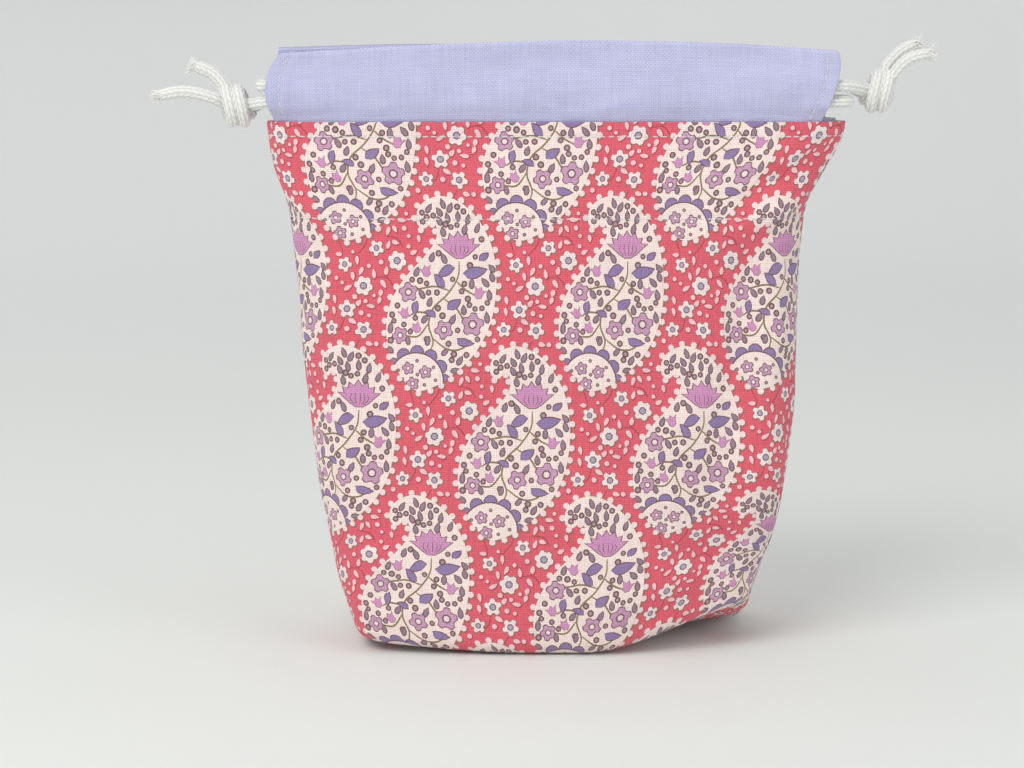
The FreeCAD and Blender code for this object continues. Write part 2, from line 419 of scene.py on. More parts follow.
def cord_material():
    """Braided white cord; the braid is in the mesh and this adds fibre, painted shade in the grooves and
    sheen.
    """
    n = Nodes("white_cord")
    flat = n.attribute("flat")
    groove = n.split(flat)[2]
    fibre = n.noise(n.scaled(flat, (9.0, 3.0, 0.0)), 1.0, 3.0, 0.6)
    # Painted shade: darker where the braid is low, in its grooves, broken up by the fibre.
    depth = n.math("MINIMUM", n.math("MAXIMUM", n.math("MULTIPLY_ADD", fibre, 0.35, groove), 0.0), 1.0)
    colour = n.mix(depth, srgb(205, 206, 204), srgb(248, 248, 244))
    n.bump(fibre, 0.00008, 0.6)
    return n.finish(colour, 0.62, sheen=0.25, specular=0.35)


def seam_material():
    """The unprinted inside of the cotton, for the pressed-open seam allowances."""
    n = Nodes("seam_allowance")
    height, _, flat = weave(n, PRINTED_PITCH, 0.5)
    tone = n.noise(n.scaled(flat, (0.4, 0.4, 1)), 1.0, 3.0)
    colour = n.mix(tone, srgb(232, 150, 156), srgb(246, 205, 203))
    n.bump(height, 0.0001, 0.8)
    return n.finish(colour, 0.9, sheen=0.15, specular=0.2)


PRINTED = printed_cotton()
LAVENDER = lavender_cotton()
THREAD = thread_material()
CORD = cord_material()
ALLOWANCE = seam_material()

make_camera()
make_stage()


# ---------------------------------------------------------------- cords

OUTWARD = {"left": -1, "right": 1}
CORD_Z = {"left": 151.8, "right": 156.2}
BIGHT_X = 81.5
BIGHT_START_X = 70.0
CASING_EXIT_X = 80.1
KNOTS = {"left": (-87.8, 0.0, 150.5), "right": (89.4, 0.0, 154.5)}
STRAND_ENDS = {"left": (-82.7, -4.5, 151.3), "right": (83.9, -4.0, 155.6)}
TAIL_ROUTES = {
    "left_tail_lower": (
        (-93.6, -1.9, 152.2), (-100.0, -3.0, 154.3), (-105.4, -3.4, 154.6), (-109.6, -3.4, 153.4),
    ),
    "left_tail_upper": (
        (-91.8, 2.0, 155.0), (-94.5, 3.2, 158.6), (-97.8, 3.5, 160.6), (-100.6, 3.6, 161.4),
    ),
    "right_tail_front": (
        (93.4, -1.9, 158.0), (96.4, -2.8, 162.3), (99.8, -3.0, 164.4), (103.6, -3.0, 164.8),
    ),
    "right_tail_back": (
        (91.8, 2.0, 160.0), (94.6, 3.0, 163.4), (97.6, 3.3, 166.2), (101.0, 3.4, 167.6),
    ),
}
WRAP_RADIUS = 4.6
WRAP_STEPS = 10


def nurbs_line(name, points, step):
    """Points along the route's NURBS spline, read from the curve and evenly spaced."""
    curve = bpy.data.curves.new(name + "_route", "CURVE")
    curve.dimensions = "3D"
    line = curve.splines.new("NURBS")
    line.points.add(len(points) - 1)
    for target, p in zip(line.points, points):
        target.co = (p[0] * MM, p[1] * MM, p[2] * MM, 1.0)
    line.order_u = 3
    line.use_endpoint_u = True
    line.resolution_u = 16
    holder = bpy.data.objects.new(name + "_route", curve)
    mesh = bpy.data.meshes.new_from_object(holder)
    raw = np.array([v.co[:] for v in mesh.vertices]) / MM
    bpy.data.objects.remove(holder)
    bpy.data.curves.remove(curve)
    bpy.data.meshes.remove(mesh)
    far = distances(raw)
    at = np.linspace(0, far[-1], max(8, int(far[-1] / step)))
    return read_along(at, far, raw), far[-1]


def frames_along(line):
    """Twist-free sideways directions along a line."""
    tangents = np.gradient(line, axis=0)
    tangents /= np.linalg.norm(tangents, axis=1)[:, None]
    side = np.cross(tangents[0], (0.0, 0.0, 1.0))
    side /= np.linalg.norm(side)
    sides = []
    for t in tangents:
        side = side - t * np.dot(side, t)
        side /= np.linalg.norm(side)
        sides.append(side.copy())
    sides = np.array(sides)
    return tangents, sides, np.cross(tangents, sides)


BRAID_COLUMNS = 8
BRAID_PITCH = 1.7
BRAID_DEPTH = 0.30


def braid(angle, along):
    """The raised strands of a round braid, 1 on top and 0 in a groove: slanted stitches in V ridges."""
    column = angle / (2 * math.pi) * BRAID_COLUMNS
    index = np.floor(column)
    across = column - index
    slant = np.where(index % 2 == 0, 1.0, -1.0)
    rounding = np.sin(math.pi * across) ** 0.7
    stitch = along / BRAID_PITCH + slant * (across - 0.5) + 0.25 * (index % 2)
    ridge = np.abs(np.sin(math.pi * stitch)) ** 0.6
    return rounding * (0.12 + 0.88 * ridge)


def braided_tube(name, line, around=48, taper_end=False):
    """A cord with its braid in the mesh, along a line of closely spaced points."""
    _, sides, ups = frames_along(line)
    far = distances(line)
    angles = np.arange(around) / around * 2 * math.pi
    along, angle = np.meshgrid(far, angles, indexing="ij")
    height = braid(angle, along)
    radius = CORD_RADIUS - BRAID_DEPTH * 0.75 + BRAID_DEPTH * height
    if taper_end:
        radius = radius * (1 - 0.25 * smooth(along, far[-1] - 1.6, far[-1]))
    cosine, sine = np.cos(angle)[:, :, None], np.sin(angle)[:, :, None]
    out = cosine * sides[:, None, :] + sine * ups[:, None, :]
    points = line[:, None, :] + radius[:, :, None] * out
    verts = list(points.reshape(-1, 3))
    faces = grid_faces(len(line), around, closed_columns=True)
    for end, ring in ((0, 0), (1, (len(line) - 1) * around)):
        centre = len(verts)
        verts.append(line[-1 if end else 0])
        for j in range(around):
            a, b = ring + j, ring + (j + 1) % around
            faces.append((b, a, centre) if not end else (a, b, centre))
    # The third flat value is the braid's height; from it the cord material paints shade into the low parts.
    flat = np.zeros((len(verts), 3))
    flat[: along.size] = np.stack([along, angle * CORD_RADIUS, height], axis=-1).reshape(-1, 3)
    made = new_object(name, np.array(verts), faces, CORD)
    point_attribute(made, "flat", flat)
    return made


def knot_point(centre, outward, along, radius, turn):
    """A point beside a knot's axis: turn is in degrees, 0 at the front and 90 at the top."""
    angle = math.radians(turn)
    return (
        centre[0] + outward * along,
        centre[1] - radius * math.cos(angle),
        centre[2] + radius * math.sin(angle),
    )


def knotted_route(side, strand, tail):
    """One strand of the knot that both tie: in through the core, round both, back through and out."""
    outward = OUTWARD[side]
    centre = KNOTS[side]
    z = CORD_Z[side]
    front = -1 if strand == 0 else 1
    end = STRAND_ENDS[side]
    turn_in = 180.0 * strand
    start_turn = 215.0 + 25.0 * strand
    wrap_from = 3.4 - 3.3 * strand
    points = [
        (outward * 62.0, front * CASING_Y, z),
        (outward * 70.0, front * CASING_Y, z),
        (outward * 76.5, front * CASING_Y, z),
        (outward * CASING_EXIT_X, front * CASING_Y, z),
        (end[0], -front * end[1], end[2]),
        knot_point(centre, outward, -3.6, 2.2, turn_in + 10),
        knot_point(centre, outward, 0.0, 1.5, turn_in + 20),
        knot_point(centre, outward, wrap_from - 0.6, 2.2, start_turn - 60),
    ]
    for k in range(WRAP_STEPS + 1):
        share = k / WRAP_STEPS
        turn = start_turn - 25 + 350 * share
        slant = 1.7 * math.sin(math.radians(turn - 20))
        along = wrap_from + 0.9 - 3.0 * share + slant
        points.append(knot_point(centre, outward, along, WRAP_RADIUS, turn))
    points += [
        knot_point(centre, outward, wrap_from - 3.2, 2.6, start_turn + 370),
        knot_point(centre, outward, 0.4, 1.5, turn_in + 200),
        knot_point(centre, outward, 3.4, 1.7, turn_in + 190),
    ]
    return points + list(TAIL_ROUTES[tail])


def frayed_end(name, tip, direction, seed):
    """The loosened yarns at a cut end: short crimped fibres that flare out and curl."""
    rng = random.Random(seed)
    direction = np.array(direction) / np.linalg.norm(direction)
    side = np.cross(direction, (0.0, 0.0, 1.0))
    side /= np.linalg.norm(side)
    up = np.cross(side, direction)
    verts, faces, flat = [], [], []
    yarns, steps, around = 26, 12, 6
    for k in range(yarns):
        angle = 2 * math.pi * (k + rng.uniform(-0.3, 0.3)) / yarns * 2.0
        ring = 0.55 + 0.75 * (k % 2)
        out = math.cos(angle) * side + math.sin(angle) * up
        length = rng.uniform(2.0, 3.9)
        flare = rng.uniform(0.35, 1.0) * (0.6 + 0.4 * (k % 2))
        crimp = rng.uniform(0.16, 0.30)
        phase = rng.uniform(0, 2 * math.pi)
        curl = rng.uniform(0.4, 1.5)
        path = []
        for i in range(steps + 1):
            t = i / steps
            p = np.array(tip) - direction * 0.9 + out * ring * (1 - 0.1 * t)
            p = p + direction * (length * (t - 0.22 * curl * t * t)) + out * (flare * length * 0.55 * t * t)
            wave = crimp * math.sin(9.0 * t + phase) * min(1.0, 3 * t)
            p = p + wave * np.cross(direction, out) + crimp * 0.7 * math.cos(8.0 * t + phase) * t * out
            path.append(p)
        path = np.array(path)
        _, sides, ups = frames_along(path)
        base = len(verts)
        for i in range(steps + 1):
            radius = 0.27 * (1 - 0.35 * i / steps)
            for j in range(around):
                a = 2 * math.pi * j / around
                verts.append(path[i] + radius * (math.cos(a) * sides[i] + math.sin(a) * ups[i]))
                # The third value feeds the cord material's painted groove shade: the yarns are darker where
                # they leave the cord and lighter towards their tips.
                flat.append((i * 0.4, j * 0.5, 0.55 + 0.4 * i / steps))
        faces += [tuple(base + v for v in f) for f in grid_faces(steps + 1, around, closed_columns=True)]
        faces.append(tuple(base + steps * around + j for j in range(around)))
        faces.append(tuple(base + j for j in reversed(range(around))))
    made = new_object(name, np.array(verts), faces, CORD)
    point_attribute(made, "flat", flat)
    return made


def make_free_strand(side, strand, tail, seed):
    """The part of a cord that leaves the casing: short strand, its share of the knot, and a frayed tail."""
    name = "%s_cord_%s_strand" % (side, "front" if strand == 0 else "back")
    line, length = nurbs_line(name, knotted_route(side, strand, tail), 0.16)
    made = braided_tube(name, line, taper_end=True)
    tuft = frayed_end(tail + "_fray", line[-1], line[-1] - line[-12], seed)
    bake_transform(made)
    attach(tuft, side + "_knot")
    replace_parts(made, tail)
    if strand == 0:
        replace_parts(made, side + "_knot")
    return length


def make_held_cord(side):
    """The part of a cord inside the casings, with its bight round the far casing ends."""
    outward = OUTWARD[side]
    z = CORD_Z[side]
    name = side + "_cord_in_casings"
    points = []
    for front in (-1, 1):
        run = [
            (outward * 66.0, front * CASING_Y, z),
            (outward * 20.0, front * CASING_Y, z),
            (-outward * 30.0, front * CASING_Y, z),
            (-outward * BIGHT_START_X, front * CASING_Y, z),
            (-outward * 78.0, front * CASING_Y, z),
            (-outward * (BIGHT_X - 0.6), front * (CASING_Y - 0.5), z),
            (-outward * BIGHT_X, front * (CASING_Y - 3.2), z),
        ]
        points += run if front < 0 else run[::-1]
    line, length = nurbs_line(name, points, 0.5)
    made = braided_tube(name, line, around=40)
    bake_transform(made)
    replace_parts(made, side + "_cord_bight", side + "_cord_front_run", side + "_cord_back_run")
    return length


cord_lengths = {
    "left": [
        make_free_strand("left", 0, "left_tail_lower", 11),
        make_free_strand("left", 1, "left_tail_upper", 12),
        make_held_cord("left"),
    ],
    "right": [
        make_free_strand("right", 0, "right_tail_front", 13),
        make_free_strand("right", 1, "right_tail_back", 14),
        make_held_cord("right"),
    ],
}
print("cord lengths, mm:", {k: [round(x, 1) for x in v] for k, v in cord_lengths.items()})

# ---------------------------------------------------------------- shape of the body

# At each height: half the width on each side of the middle, half the depth, and how boxy the section is.
LEFT_HALF_WIDTH = (
    (-8, 54.5), (0, 54.5), (13, 59.5), (44, 66.5), (81, 71.0), (95, 71.7),
    (123, 74.5), (134, 79.0), (146, 80.5), (156, 80.5),
)
RIGHT_HALF_WIDTH = (
    (-8, 55.0), (0, 55.0), (10, 57.5), (33, 63.5), (67, 68.0), (109, 69.0),
    (124, 70.5), (134, 76.5), (143, 81.5), (156, 81.0),
)
HALF_DEPTH = (
    (-8, 29.0), (0, 29.0), (14, 28.4), (45, 24.0), (75, 20.5), (98, 18.0),
    (120, 14.6), (136, 11.2), (143, 9.5), (147, 8.9), (156, 8.9),
)
SIDE_BOXINESS = (
    (-8, 10.0), (4, 9.0), (30, 6.5), (75, 4.6), (110, 5.0), (134, 10.0), (146, 16.0), (156, 16.0),
)
FACE_BOXINESS = (
    (-8, 10.0), (4, 8.0), (30, 4.0), (75, 2.5), (110, 1.9), (130, 1.5), (146, 1.5), (156, 1.5),
)
FLAT_HALF = 84.0
BASE_RADIUS = 4.0
BASE_EDGE = BASE_RADIUS * math.pi / 2
BASE_HALF = 57.4
BASE_DEPTH = 25.0
RIM_RADIUS = 0.42
RIM_START = BODY_TOP + BASE_EDGE - BASE_RADIUS
RIM_END = RIM_START + RIM_RADIUS * math.pi + 1.6


def eased(table, z, width=3.0):
    """A value given at a few heights, with its corners rounded off."""
    at, values = np.array(table, float).T
    total = 0
    for k, share in ((-1.5, 0.13), (-0.75, 0.23), (0, 0.28), (0.75, 0.23), (1.5, 0.13)):
        total = total + share * np.interp(z + k * width, at, values)
    return total


def quarter(a, b, n, m, count=80):
    """One quarter of a section, from the middle of the face to the side seam, and the distance along it."""
    x1 = np.linspace(0, 0.5 ** (1 / n), count)
    y2 = np.linspace(0.5 ** (1 / m), 0, count)
    x = a * np.concatenate([x1, (1 - y2[1:] ** m) ** (1 / n)])
    y = b * np.concatenate([(1 - x1**n) ** (1 / m), y2[1:]])
    far = np.concatenate([[0.0], np.cumsum(np.hypot(np.diff(x), np.diff(y)))])
    return x, y, far / far[-1]


def section_row(z, inset, u):
    """Points (x, y) across the front half of the bag at one height."""
    share = np.abs(u) / FLAT_HALF
    out = np.zeros((len(u), 2))
    for sign, table in ((-1, LEFT_HALF_WIDTH), (1, RIGHT_HALF_WIDTH)):
        a = float(eased(table, z)) - inset
        b = float(eased(HALF_DEPTH, z)) - inset
        x, y, far = quarter(a, b, float(eased(SIDE_BOXINESS, z)), float(eased(FACE_BOXINESS, z)))
        chosen = (u * sign) >= 0
        out[chosen, 0] = sign * np.interp(share[chosen], far, x)
        out[chosen, 1] = -np.interp(share[chosen], far, y)
    return out


def cloth_rows(rim):
    """Distances up the cloth at which its shape is worked out, from the middle of the base to the rim."""
    base = list(np.linspace(-BASE_DEPTH, 0, 11))
    edge = list(np.linspace(0, BASE_EDGE, 7)[1:])
    wall = list(np.linspace(BASE_EDGE, RIM_START, 73)[1:])
    over = list(np.linspace(RIM_START, RIM_END, 10)[1:]) if rim else []
    return np.array(base + edge + wall + over)


def wall_shape(w, inset, u, fold=1):
    """One row of the wall before any creases."""
    extra, z = 0.0, w - BASE_EDGE + BASE_RADIUS
    if w < BASE_EDGE:
        angle = w / BASE_RADIUS
        extra, z = BASE_RADIUS * (1 - math.sin(angle)), BASE_RADIUS * (1 - math.cos(angle))
    if w > RIM_START:
        angle = min((w - RIM_START) / RIM_RADIUS, math.pi)
        down = max(0.0, w - RIM_START - RIM_RADIUS * math.pi)
        extra = fold * RIM_RADIUS * (1 - math.cos(angle))
        z = BODY_TOP + RIM_RADIUS * math.sin(angle) - down
    row = section_row(z, inset + extra, u)
    return np.column_stack([row, np.full(len(u), z)])


def wobble(u, z, seed, size):
    """Slow unevenness made of a few waves in different directions."""
    rng = random.Random(seed)
    total = 0
    for _ in range(9):
        angle = rng.uniform(0, math.pi)
        length = rng.uniform(*size)
        phase = rng.uniform(0, 2 * math.pi)
        total = total + np.sin((u * math.cos(angle) + z * math.sin(angle)) * 2 * math.pi / length + phase)
    return total / 3.0


def crease(u, z, start, end, width, depth, round_end=8.0):
    """A valley (depth below 0) or ridge along the line from start to end, fading out past both."""
    start, end = np.array(start, float), np.array(end, float)
    length = np.linalg.norm(end - start)
    direction = (end - start) / length
    along = (u - start[0]) * direction[0] + (z - start[1]) * direction[1]
    across = -(u - start[0]) * direction[1] + (z - start[1]) * direction[0]
    fade = smooth(along, -round_end, round_end) * (1 - smooth(along, length - round_end, length + round_end))
    return depth * np.exp(-((across / width) ** 2)) * fade


FRONT_CREASES = (
    # start, end, width, height
    ((60, 112), (46, 40), 6.0, -1.3),
    ((70, 108), (60, 45), 5.0, 0.8),
    ((-64, 108), (-58, 40), 5.5, 0.7),
    ((-52, 96), (-46, 30), 7.0, -0.7),
    ((52, 122), (78, 140), 3.6, -1.0),
    ((60, 118), (82, 130), 3.2, 1.1),
    ((-58, 121), (-78, 139), 4.0, -0.8),
    ((-62, 116), (-82, 128), 3.5, 0.8),
    ((20, 116), (34, 92), 5.0, -0.35),
    ((-14, 116), (-24, 84), 6.0, -0.35),
    ((40, 30), (56, 8), 5.0, -1.1),
    ((-44, 22), (-54, 6), 5.0, -0.6),
    ((8, 8), (40, 14), 5.0, 0.7),
)
BACK_CREASES = (
    ((56, 108), (44, 38), 6.0, -1.1),
    ((-58, 110), (-47, 44), 6.5, -1.2),
    ((66, 104), (60, 40), 5.0, 0.7),
    ((55, 121), (78, 139), 4.0, -0.9),
    ((-55, 121), (-78, 138), 4.0, -0.9),
    ((12, 114), (26, 80), 6.0, -0.5),
    ((-20, 60), (18, 40), 9.0, -0.8),
    ((44, 24), (54, 6), 5.0, -0.7),
    ((-42, 26), (-55, 7), 5.0, -0.8),
)


def stitch_pull(u, z, seed):
    """The two stitch lines draw the cloth in and pucker it."""
    rng = random.Random(seed)
    phases = [rng.uniform(0, 6.3) for _ in range(4)]
    pucker = np.sin(u * 1.07 + phases[0])
    pucker = pucker + 0.7 * np.sin(u * 0.61 + phases[1])
    pucker = pucker + 0.5 * np.sin(u * 1.73 + phases[2])
    out = 0
    for line in (LOWER_STITCH_Z, UPPER_STITCH_Z):
        near = np.abs(z - line)
        out = out - 0.30 * np.exp(-((near / 1.1) ** 2)) + 0.11 * pucker * np.exp(-near / 3.2)
    return out


def body_displacement(front, u, z):
    """How far the cloth stands out from its plain shape."""
    edge = 1 - (np.abs(u) / FLAT_HALF) ** 8
    low = smooth(z, 3, 16)
    top = 1 - smooth(z, 128, 144)
    belly = 2.0 * bump(z, 52, 42) * np.cos(np.clip(u / 62, -1, 1) * math.pi / 2) ** 2
    out = (belly + 0.5 * wobble(u, z, 5 if front else 6, (34, 80)) * low) * top
    out = out + 0.17 * wobble(u, z, 7 if front else 8, (11, 24)) * low * (0.35 + 0.65 * top)
    for start, end, width, depth in FRONT_CREASES if front else BACK_CREASES:
        out = out + 1.8 * crease(u, z, start, end, width, depth) * low
    out = out + stitch_pull(u, z, 21 if front else 22)
    return out * edge


def lift_corner(points, front=True):
    """The right end of the base is drawn up off the floor, most at the front corner, which is tucked back."""
    x, y, z = points[..., 0], points[..., 1], points[..., 2]
    forward = smooth(-y, 0, 24) if front else 0.0 * y
    end = smooth(x, 8, 60)
    right = end * (0.45 + 0.55 * forward) if front else end * 0.45 * (1 - smooth(-y, 0, 24))
    left = smooth(-x, 10, 60) * forward
    edge = smooth(-y, 12, 27)
    points[..., 2] += (12.0 * right + 2.0 * left + 0.7 * edge) * (1 - smooth(z, 0, 52))
    points[..., 1] += (8.0 * end + 2.0 * left) * forward * (1 - smooth(z, 0, 60))
    points[..., 0] -= 1.0 * right * (1 - smooth(z, 0, 40))
    return points


class Cloth:
    """The surface of one body panel: a grid of points over the flat cloth, read smoothly in between."""

    def __init__(self, front, inset=0.0, rim=True, top_inset=0.0, fold=1):
        self.u = np.linspace(-FLAT_HALF, FLAT_HALF, 85)
        self.w = cloth_rows(rim)
        rows = []
        ring = wall_shape(0.0, inset, self.u)
        for w in self.w:
            if w < 0:
                row = ring.copy()
                row[:, 1] *= 1 + w / BASE_DEPTH
                row[:, 0] *= 1 + 0.055 * min(1.0, -w / 1.5)
            else:
                drawn_in = inset + top_inset * float(smooth(w, RIM_START - 18, RIM_START - 3))
                row = wall_shape(w, drawn_in, self.u, fold)
            rows.append(row)
        self.p = np.array(rows)
        self.p[..., 2] += inset
        if inset:
            self.p[..., 2] = np.minimum(self.p[..., 2], BODY_TOP + 1.2)
        z = self.p[..., 2]
        u = np.broadcast_to(self.u, z.shape)
        normals = self.grid_normals()
        wall = (self.w >= 0)[:, None, None]
        self.p = self.p + normals * (body_displacement(front, u, z)[..., None]) * wall
        self.p = lift_corner(self.p, front)
        self.p[..., 2] = np.maximum(self.p[..., 2], 0.02 + inset)
        if not front:
            # The back is the front with y turned round, so both meet along the side seams.
            self.p[..., 1] *= -1
        self.side = -1 if front else 1

    def grid_normals(self):
        """The way out from the cloth at each point of the grid."""
        du = np.gradient(self.p, axis=1)
        dw = np.gradient(self.p, axis=0)
        n = np.cross(du, dw)
        return n / np.maximum(np.linalg.norm(n, axis=-1, keepdims=True), 1e-9)

    def at(self, u, w):
        """Points on the surface at flat distances u and w."""
        i = np.interp(w, self.w, np.arange(len(self.w)))
        j = np.interp(u, self.u, np.arange(len(self.u)))
        i0 = np.clip(np.floor(i).astype(int), 0, len(self.w) - 2)
        j0 = np.clip(np.floor(j).astype(int), 0, len(self.u) - 2)
        wi, wj = cubic_weights(i - i0), cubic_weights(j - j0)
        out = 0
        for a in range(4):
            row = np.clip(i0 + a - 1, 0, len(self.w) - 1)
            for b in range(4):
                column = np.clip(j0 + b - 1, 0, len(self.u) - 1)
                out = out + (wi[a] * wj[b])[:, None] * self.p[row, column]
        return out

    def normal(self, u, w):
        """The way out from the cloth at flat distances u and w."""
        step = 0.4
        across = self.at(u + step, w) - self.at(u - step, w)
        up = self.at(u, w + step) - self.at(u, w - step)
        n = np.cross(across, up) * -self.side
        return n / np.linalg.norm(n, axis=1)[:, None]


def cubic_weights(t):
    """Catmull-Rom weights of the four points round a place."""
    return (
        0.5 * (-t + 2 * t**2 - t**3),
        0.5 * (2 - 5 * t**2 + 3 * t**3),
        0.5 * (t + 4 * t**2 - 3 * t**3),
        0.5 * (-(t**2) + t**3),
    )


# ---------------------------------------------------------------- the printed pattern

GROUND = (231, 88, 108)
CREAM = (255, 234, 228)
NUB = (255, 226, 228)
BROWN = (158, 104, 92)
DARK_RED = (178, 52, 70)
PINK = (252, 204, 208)
BLOSSOM = (252, 232, 232)
GREY_VIOLET = (152, 126, 146)
RING_FILL = (178, 148, 160)
INK = (112, 70, 74)
PURPLE = (146, 122, 174)
ORCHID = (216, 148, 196)
MAUVE = (206, 156, 190)
OLIVE = (140, 118, 80)
FLOWER_EYE = (176, 166, 190)

BOTEH = (
    (-7.8, -26.6), (-12.7, -21.2), (-15.8, -12.6), (-15.2, -4.0), (-11.0, 3.6), (-5.6, 9.2),
    (-2.1, 13.6), (-1.3, 17.2), (-2.8, 19.0), (-4.8, 17.4), (-7.0, 18.8), (-6.6, 22.6),
    (-3.4, 25.4), (1.4, 26.2), (6.8, 23.8), (11.4, 18.8), (14.8, 11.4), (15.8, 1.8),
    (14.2, -8.2), (9.8, -16.6), (3.4, -22.6), (-2.8, -26.2),
)
NUB_PITCH = 3.25
NUB_RADIUS = 0.92
NUB_OUT = 0.62
REPEAT_ACROSS = (49.8, 0.0)
REPEAT_DOWN = (21.3, -41.0)
BOTEH_PLACE = (9.8, 20.4)


def placed(along, across, angle, x, y):
    """Turns a shape by an angle and moves it to x, y."""
    c, s = math.cos(angle), math.sin(angle)
    return np.column_stack([x + along * c - across * s, y + along * s + across * c])


def disc(x, y, r, count=7):
    """A round spot."""
    a = np.arange(count) / count * 2 * math.pi + 0.3
    return np.column_stack([x + r * np.cos(a), y + r * np.sin(a)])


def drop(x, y, angle, length, width, grow=0.0):
    """A teardrop with its point towards the angle."""
    a = np.arange(9) / 9 * 2 * math.pi
    along = np.cos(a) * (length / 2 + grow * 1.25)
    across = np.sin(a) * (width / 2 + grow) * (1 - 0.62 * np.clip(np.cos(a), 0, 1) - 0.05 * np.cos(a))
    return placed(along, across, angle, x, y)


def blossom(x, y, petals, r, depth, turn=0.0, grow=0.0):
    """A flower outline with rounded petals."""
    a = np.arange(petals * 5) / (petals * 5) * 2 * math.pi
    radius = r * (1 - depth * (0.5 - 0.5 * np.cos(petals * a)) ** 2.2) + grow
    return np.column_stack([x + radius * np.cos(a + turn), y + radius * np.sin(a + turn)])


def leaf(x, y, angle, length, width, bend, grow=0.0):
    """A leaf from its stalk at x, y, bent to one side."""
    t = np.linspace(0, 1, 7)
    across = np.sin(math.pi * t**0.8) * (width / 2)
    spine_x, spine_y = t * length, bend * t**2 * length
    upper = np.column_stack([spine_x, spine_y + across + grow])
    lower = np.column_stack([spine_x, spine_y - across - grow])[::-1]
    shape = np.vstack([upper, lower[1:-1]])
    shape[0, 0] -= grow
    return placed(shape[:, 0], shape[:, 1], angle, x, y)


def stroke(points, width, steps=5):
    """A ribbon along a curve, thinner at its ends."""
    line = spline(points, steps)
    t = np.gradient(line, axis=0)
    t /= np.linalg.norm(t, axis=1)[:, None]
    n = np.column_stack([-t[:, 1], t[:, 0]])
    share = np.linspace(0, 1, len(line))
    half = (width / 2 * (0.45 + 0.55 * np.sin(math.pi * share) ** 0.5))[:, None]
    return np.vstack([line + n * half, (line - n * half)[::-1]])


def tulip(x, y, angle, size):
    """A small three-pointed flower on the end of a stalk."""
    outline = [
        (-0.55, 0), (-0.6, 0.55), (-0.95, 1.25), (-0.35, 1.0), (0, 1.45),
        (0.35, 1.0), (0.95, 1.25), (0.6, 0.55), (0.55, 0), (0, -0.3),
    ]
    shape = np.array(outline) * size
    return placed(shape[:, 0], shape[:, 1], angle - math.pi / 2, x, y)


def lotus(x, y, size):
    """The outline of the crown flower, a bowl of petals."""
    outline = [
        (-0.35, -1.0), (-0.95, -0.62), (-1.7, 0.0), (-2.3, 0.42), (-1.55, 0.42), (-1.75, 1.0),
        (-1.15, 0.85), (-1.0, 1.5), (-0.5, 1.12), (-0.1, 1.72), (0.3, 1.14), (0.85, 1.5), (1.0, 0.88),
        (1.6, 1.02), (1.45, 0.45), (2.2, 0.4), (1.65, -0.05), (0.95, -0.66), (0.35, -1.0),
    ]
    return np.array(outline) * size + (x, y)


class Print:
    """Shapes in paint order. A shape with a clip only shows where that other shape is underneath."""

    def __init__(self):
        self.shapes = []
        self.colours = []
        self.clips = []

    def add(self, shape, colour, clip=-1):
        """Adds a shape on top of the others and gives its number."""
        self.shapes.append(np.asarray(shape, float))
        self.colours.append(colour)
        self.clips.append(clip)
        return len(self.shapes) - 1


# Where things stand inside the boteh: x, y, size and so on, in mm from its centre.
MAUVE_FLOWERS = ((-9.6, 0.0, 2.7), (0.8, -10.2, 2.6), (9.0, -8.8, 3.2), (-11.8, -11.8, 2.3))
TULIPS = ((-4.2, 4.8, 1.9, 1.8), (10.4, -1.2, 1.2, 1.9), (-6.4, -10.4, 2.3, 1.7), (-10.2, -6.6, 2.0, 1.7))
LEAVES = (
    (3.6, 6.8, -2.9, 5.6, 2.7, 0.25), (6.2, 5.0, 0.05, 7.2, 3.1, 0.12), (1.0, 1.6, 2.6, 4.6, 2.3, -0.3),
    (2.0, -4.8, 0.9, 4.6, 2.7, -0.25), (-7.2, -2.4, -1.9, 4.0, 1.9, 0.2), (4.6, -12.8, -0.6, 5.0, 2.3, 0.35),
    (-1.6, -6.6, 2.5, 3.6, 1.7, 0.2), (11.0, 8.6, 0.9, 3.4, 1.9, -0.2),
)
VINES = (
    ((5.0, 8.5), (4.6, 4.0), (1.6, -0.6), (-2.4, -4.4), (-3.6, -9.0), (-2.2, -13.5), (-3.6, -17.0)),
    ((4.2, 3.0), (7.0, 0.6), (10.0, -1.0)),
    ((0.6, -1.8), (4.0, -4.0), (6.4, -7.4), (8.4, -8.4)),
    ((2.4, 0.4), (-2.0, 1.6), (-6.0, 1.0), (-8.4, 0.8)),
    ((-3.6, -8.4), (-6.6, -12.0), (-10.8, -11.8)),
    ((-2.8, -6.0), (-6.8, -5.4), (-9.4, -6.6)),
    ((-2.4, -12.6), (2.0, -15.6), (6.0, -15.4), (8.6, -13.0)),
)
TIP_DROPS = (
    (-3.4, 22.9, 1.0), (1.8, 20.4, 1.8), (4.8, 20.8, 1.6),
    (7.7, 20.0, 1.4), (0.6, 24.2, 1.9), (10.4, 17.6, 1.2),
)
CROWN = (5.0, 12.0)
# The lines between the crown flower's petals: how far each leans, and how high it ends.
CROWN_LINES = ((-1.1, 0.9), (-0.5, 1.1), (0.15, 1.15), (0.7, 1.0), (1.2, 0.7))
DOME = (-7.0, -24.4, 7.6)
DOME_FLOWERS = ((-2.3, 3.6, 1.7), (2.7, 2.6, 1.75), (-1.0, -0.6, 1.8))
DOME_DOTS = ((-5.2, 3.0), (0.3, 5.7), (5.0, 3.9), (-4.0, 0.6), (2.4, -0.9), (5.6, 0.4), (0.4, 1.9))


def ring_dot(art, x, y, r, clip):
    """A dot with a dark edge."""
    art.add(disc(x, y, r), INK, clip)
    art.add(disc(x, y, r * 0.56, 5), RING_FILL, clip)


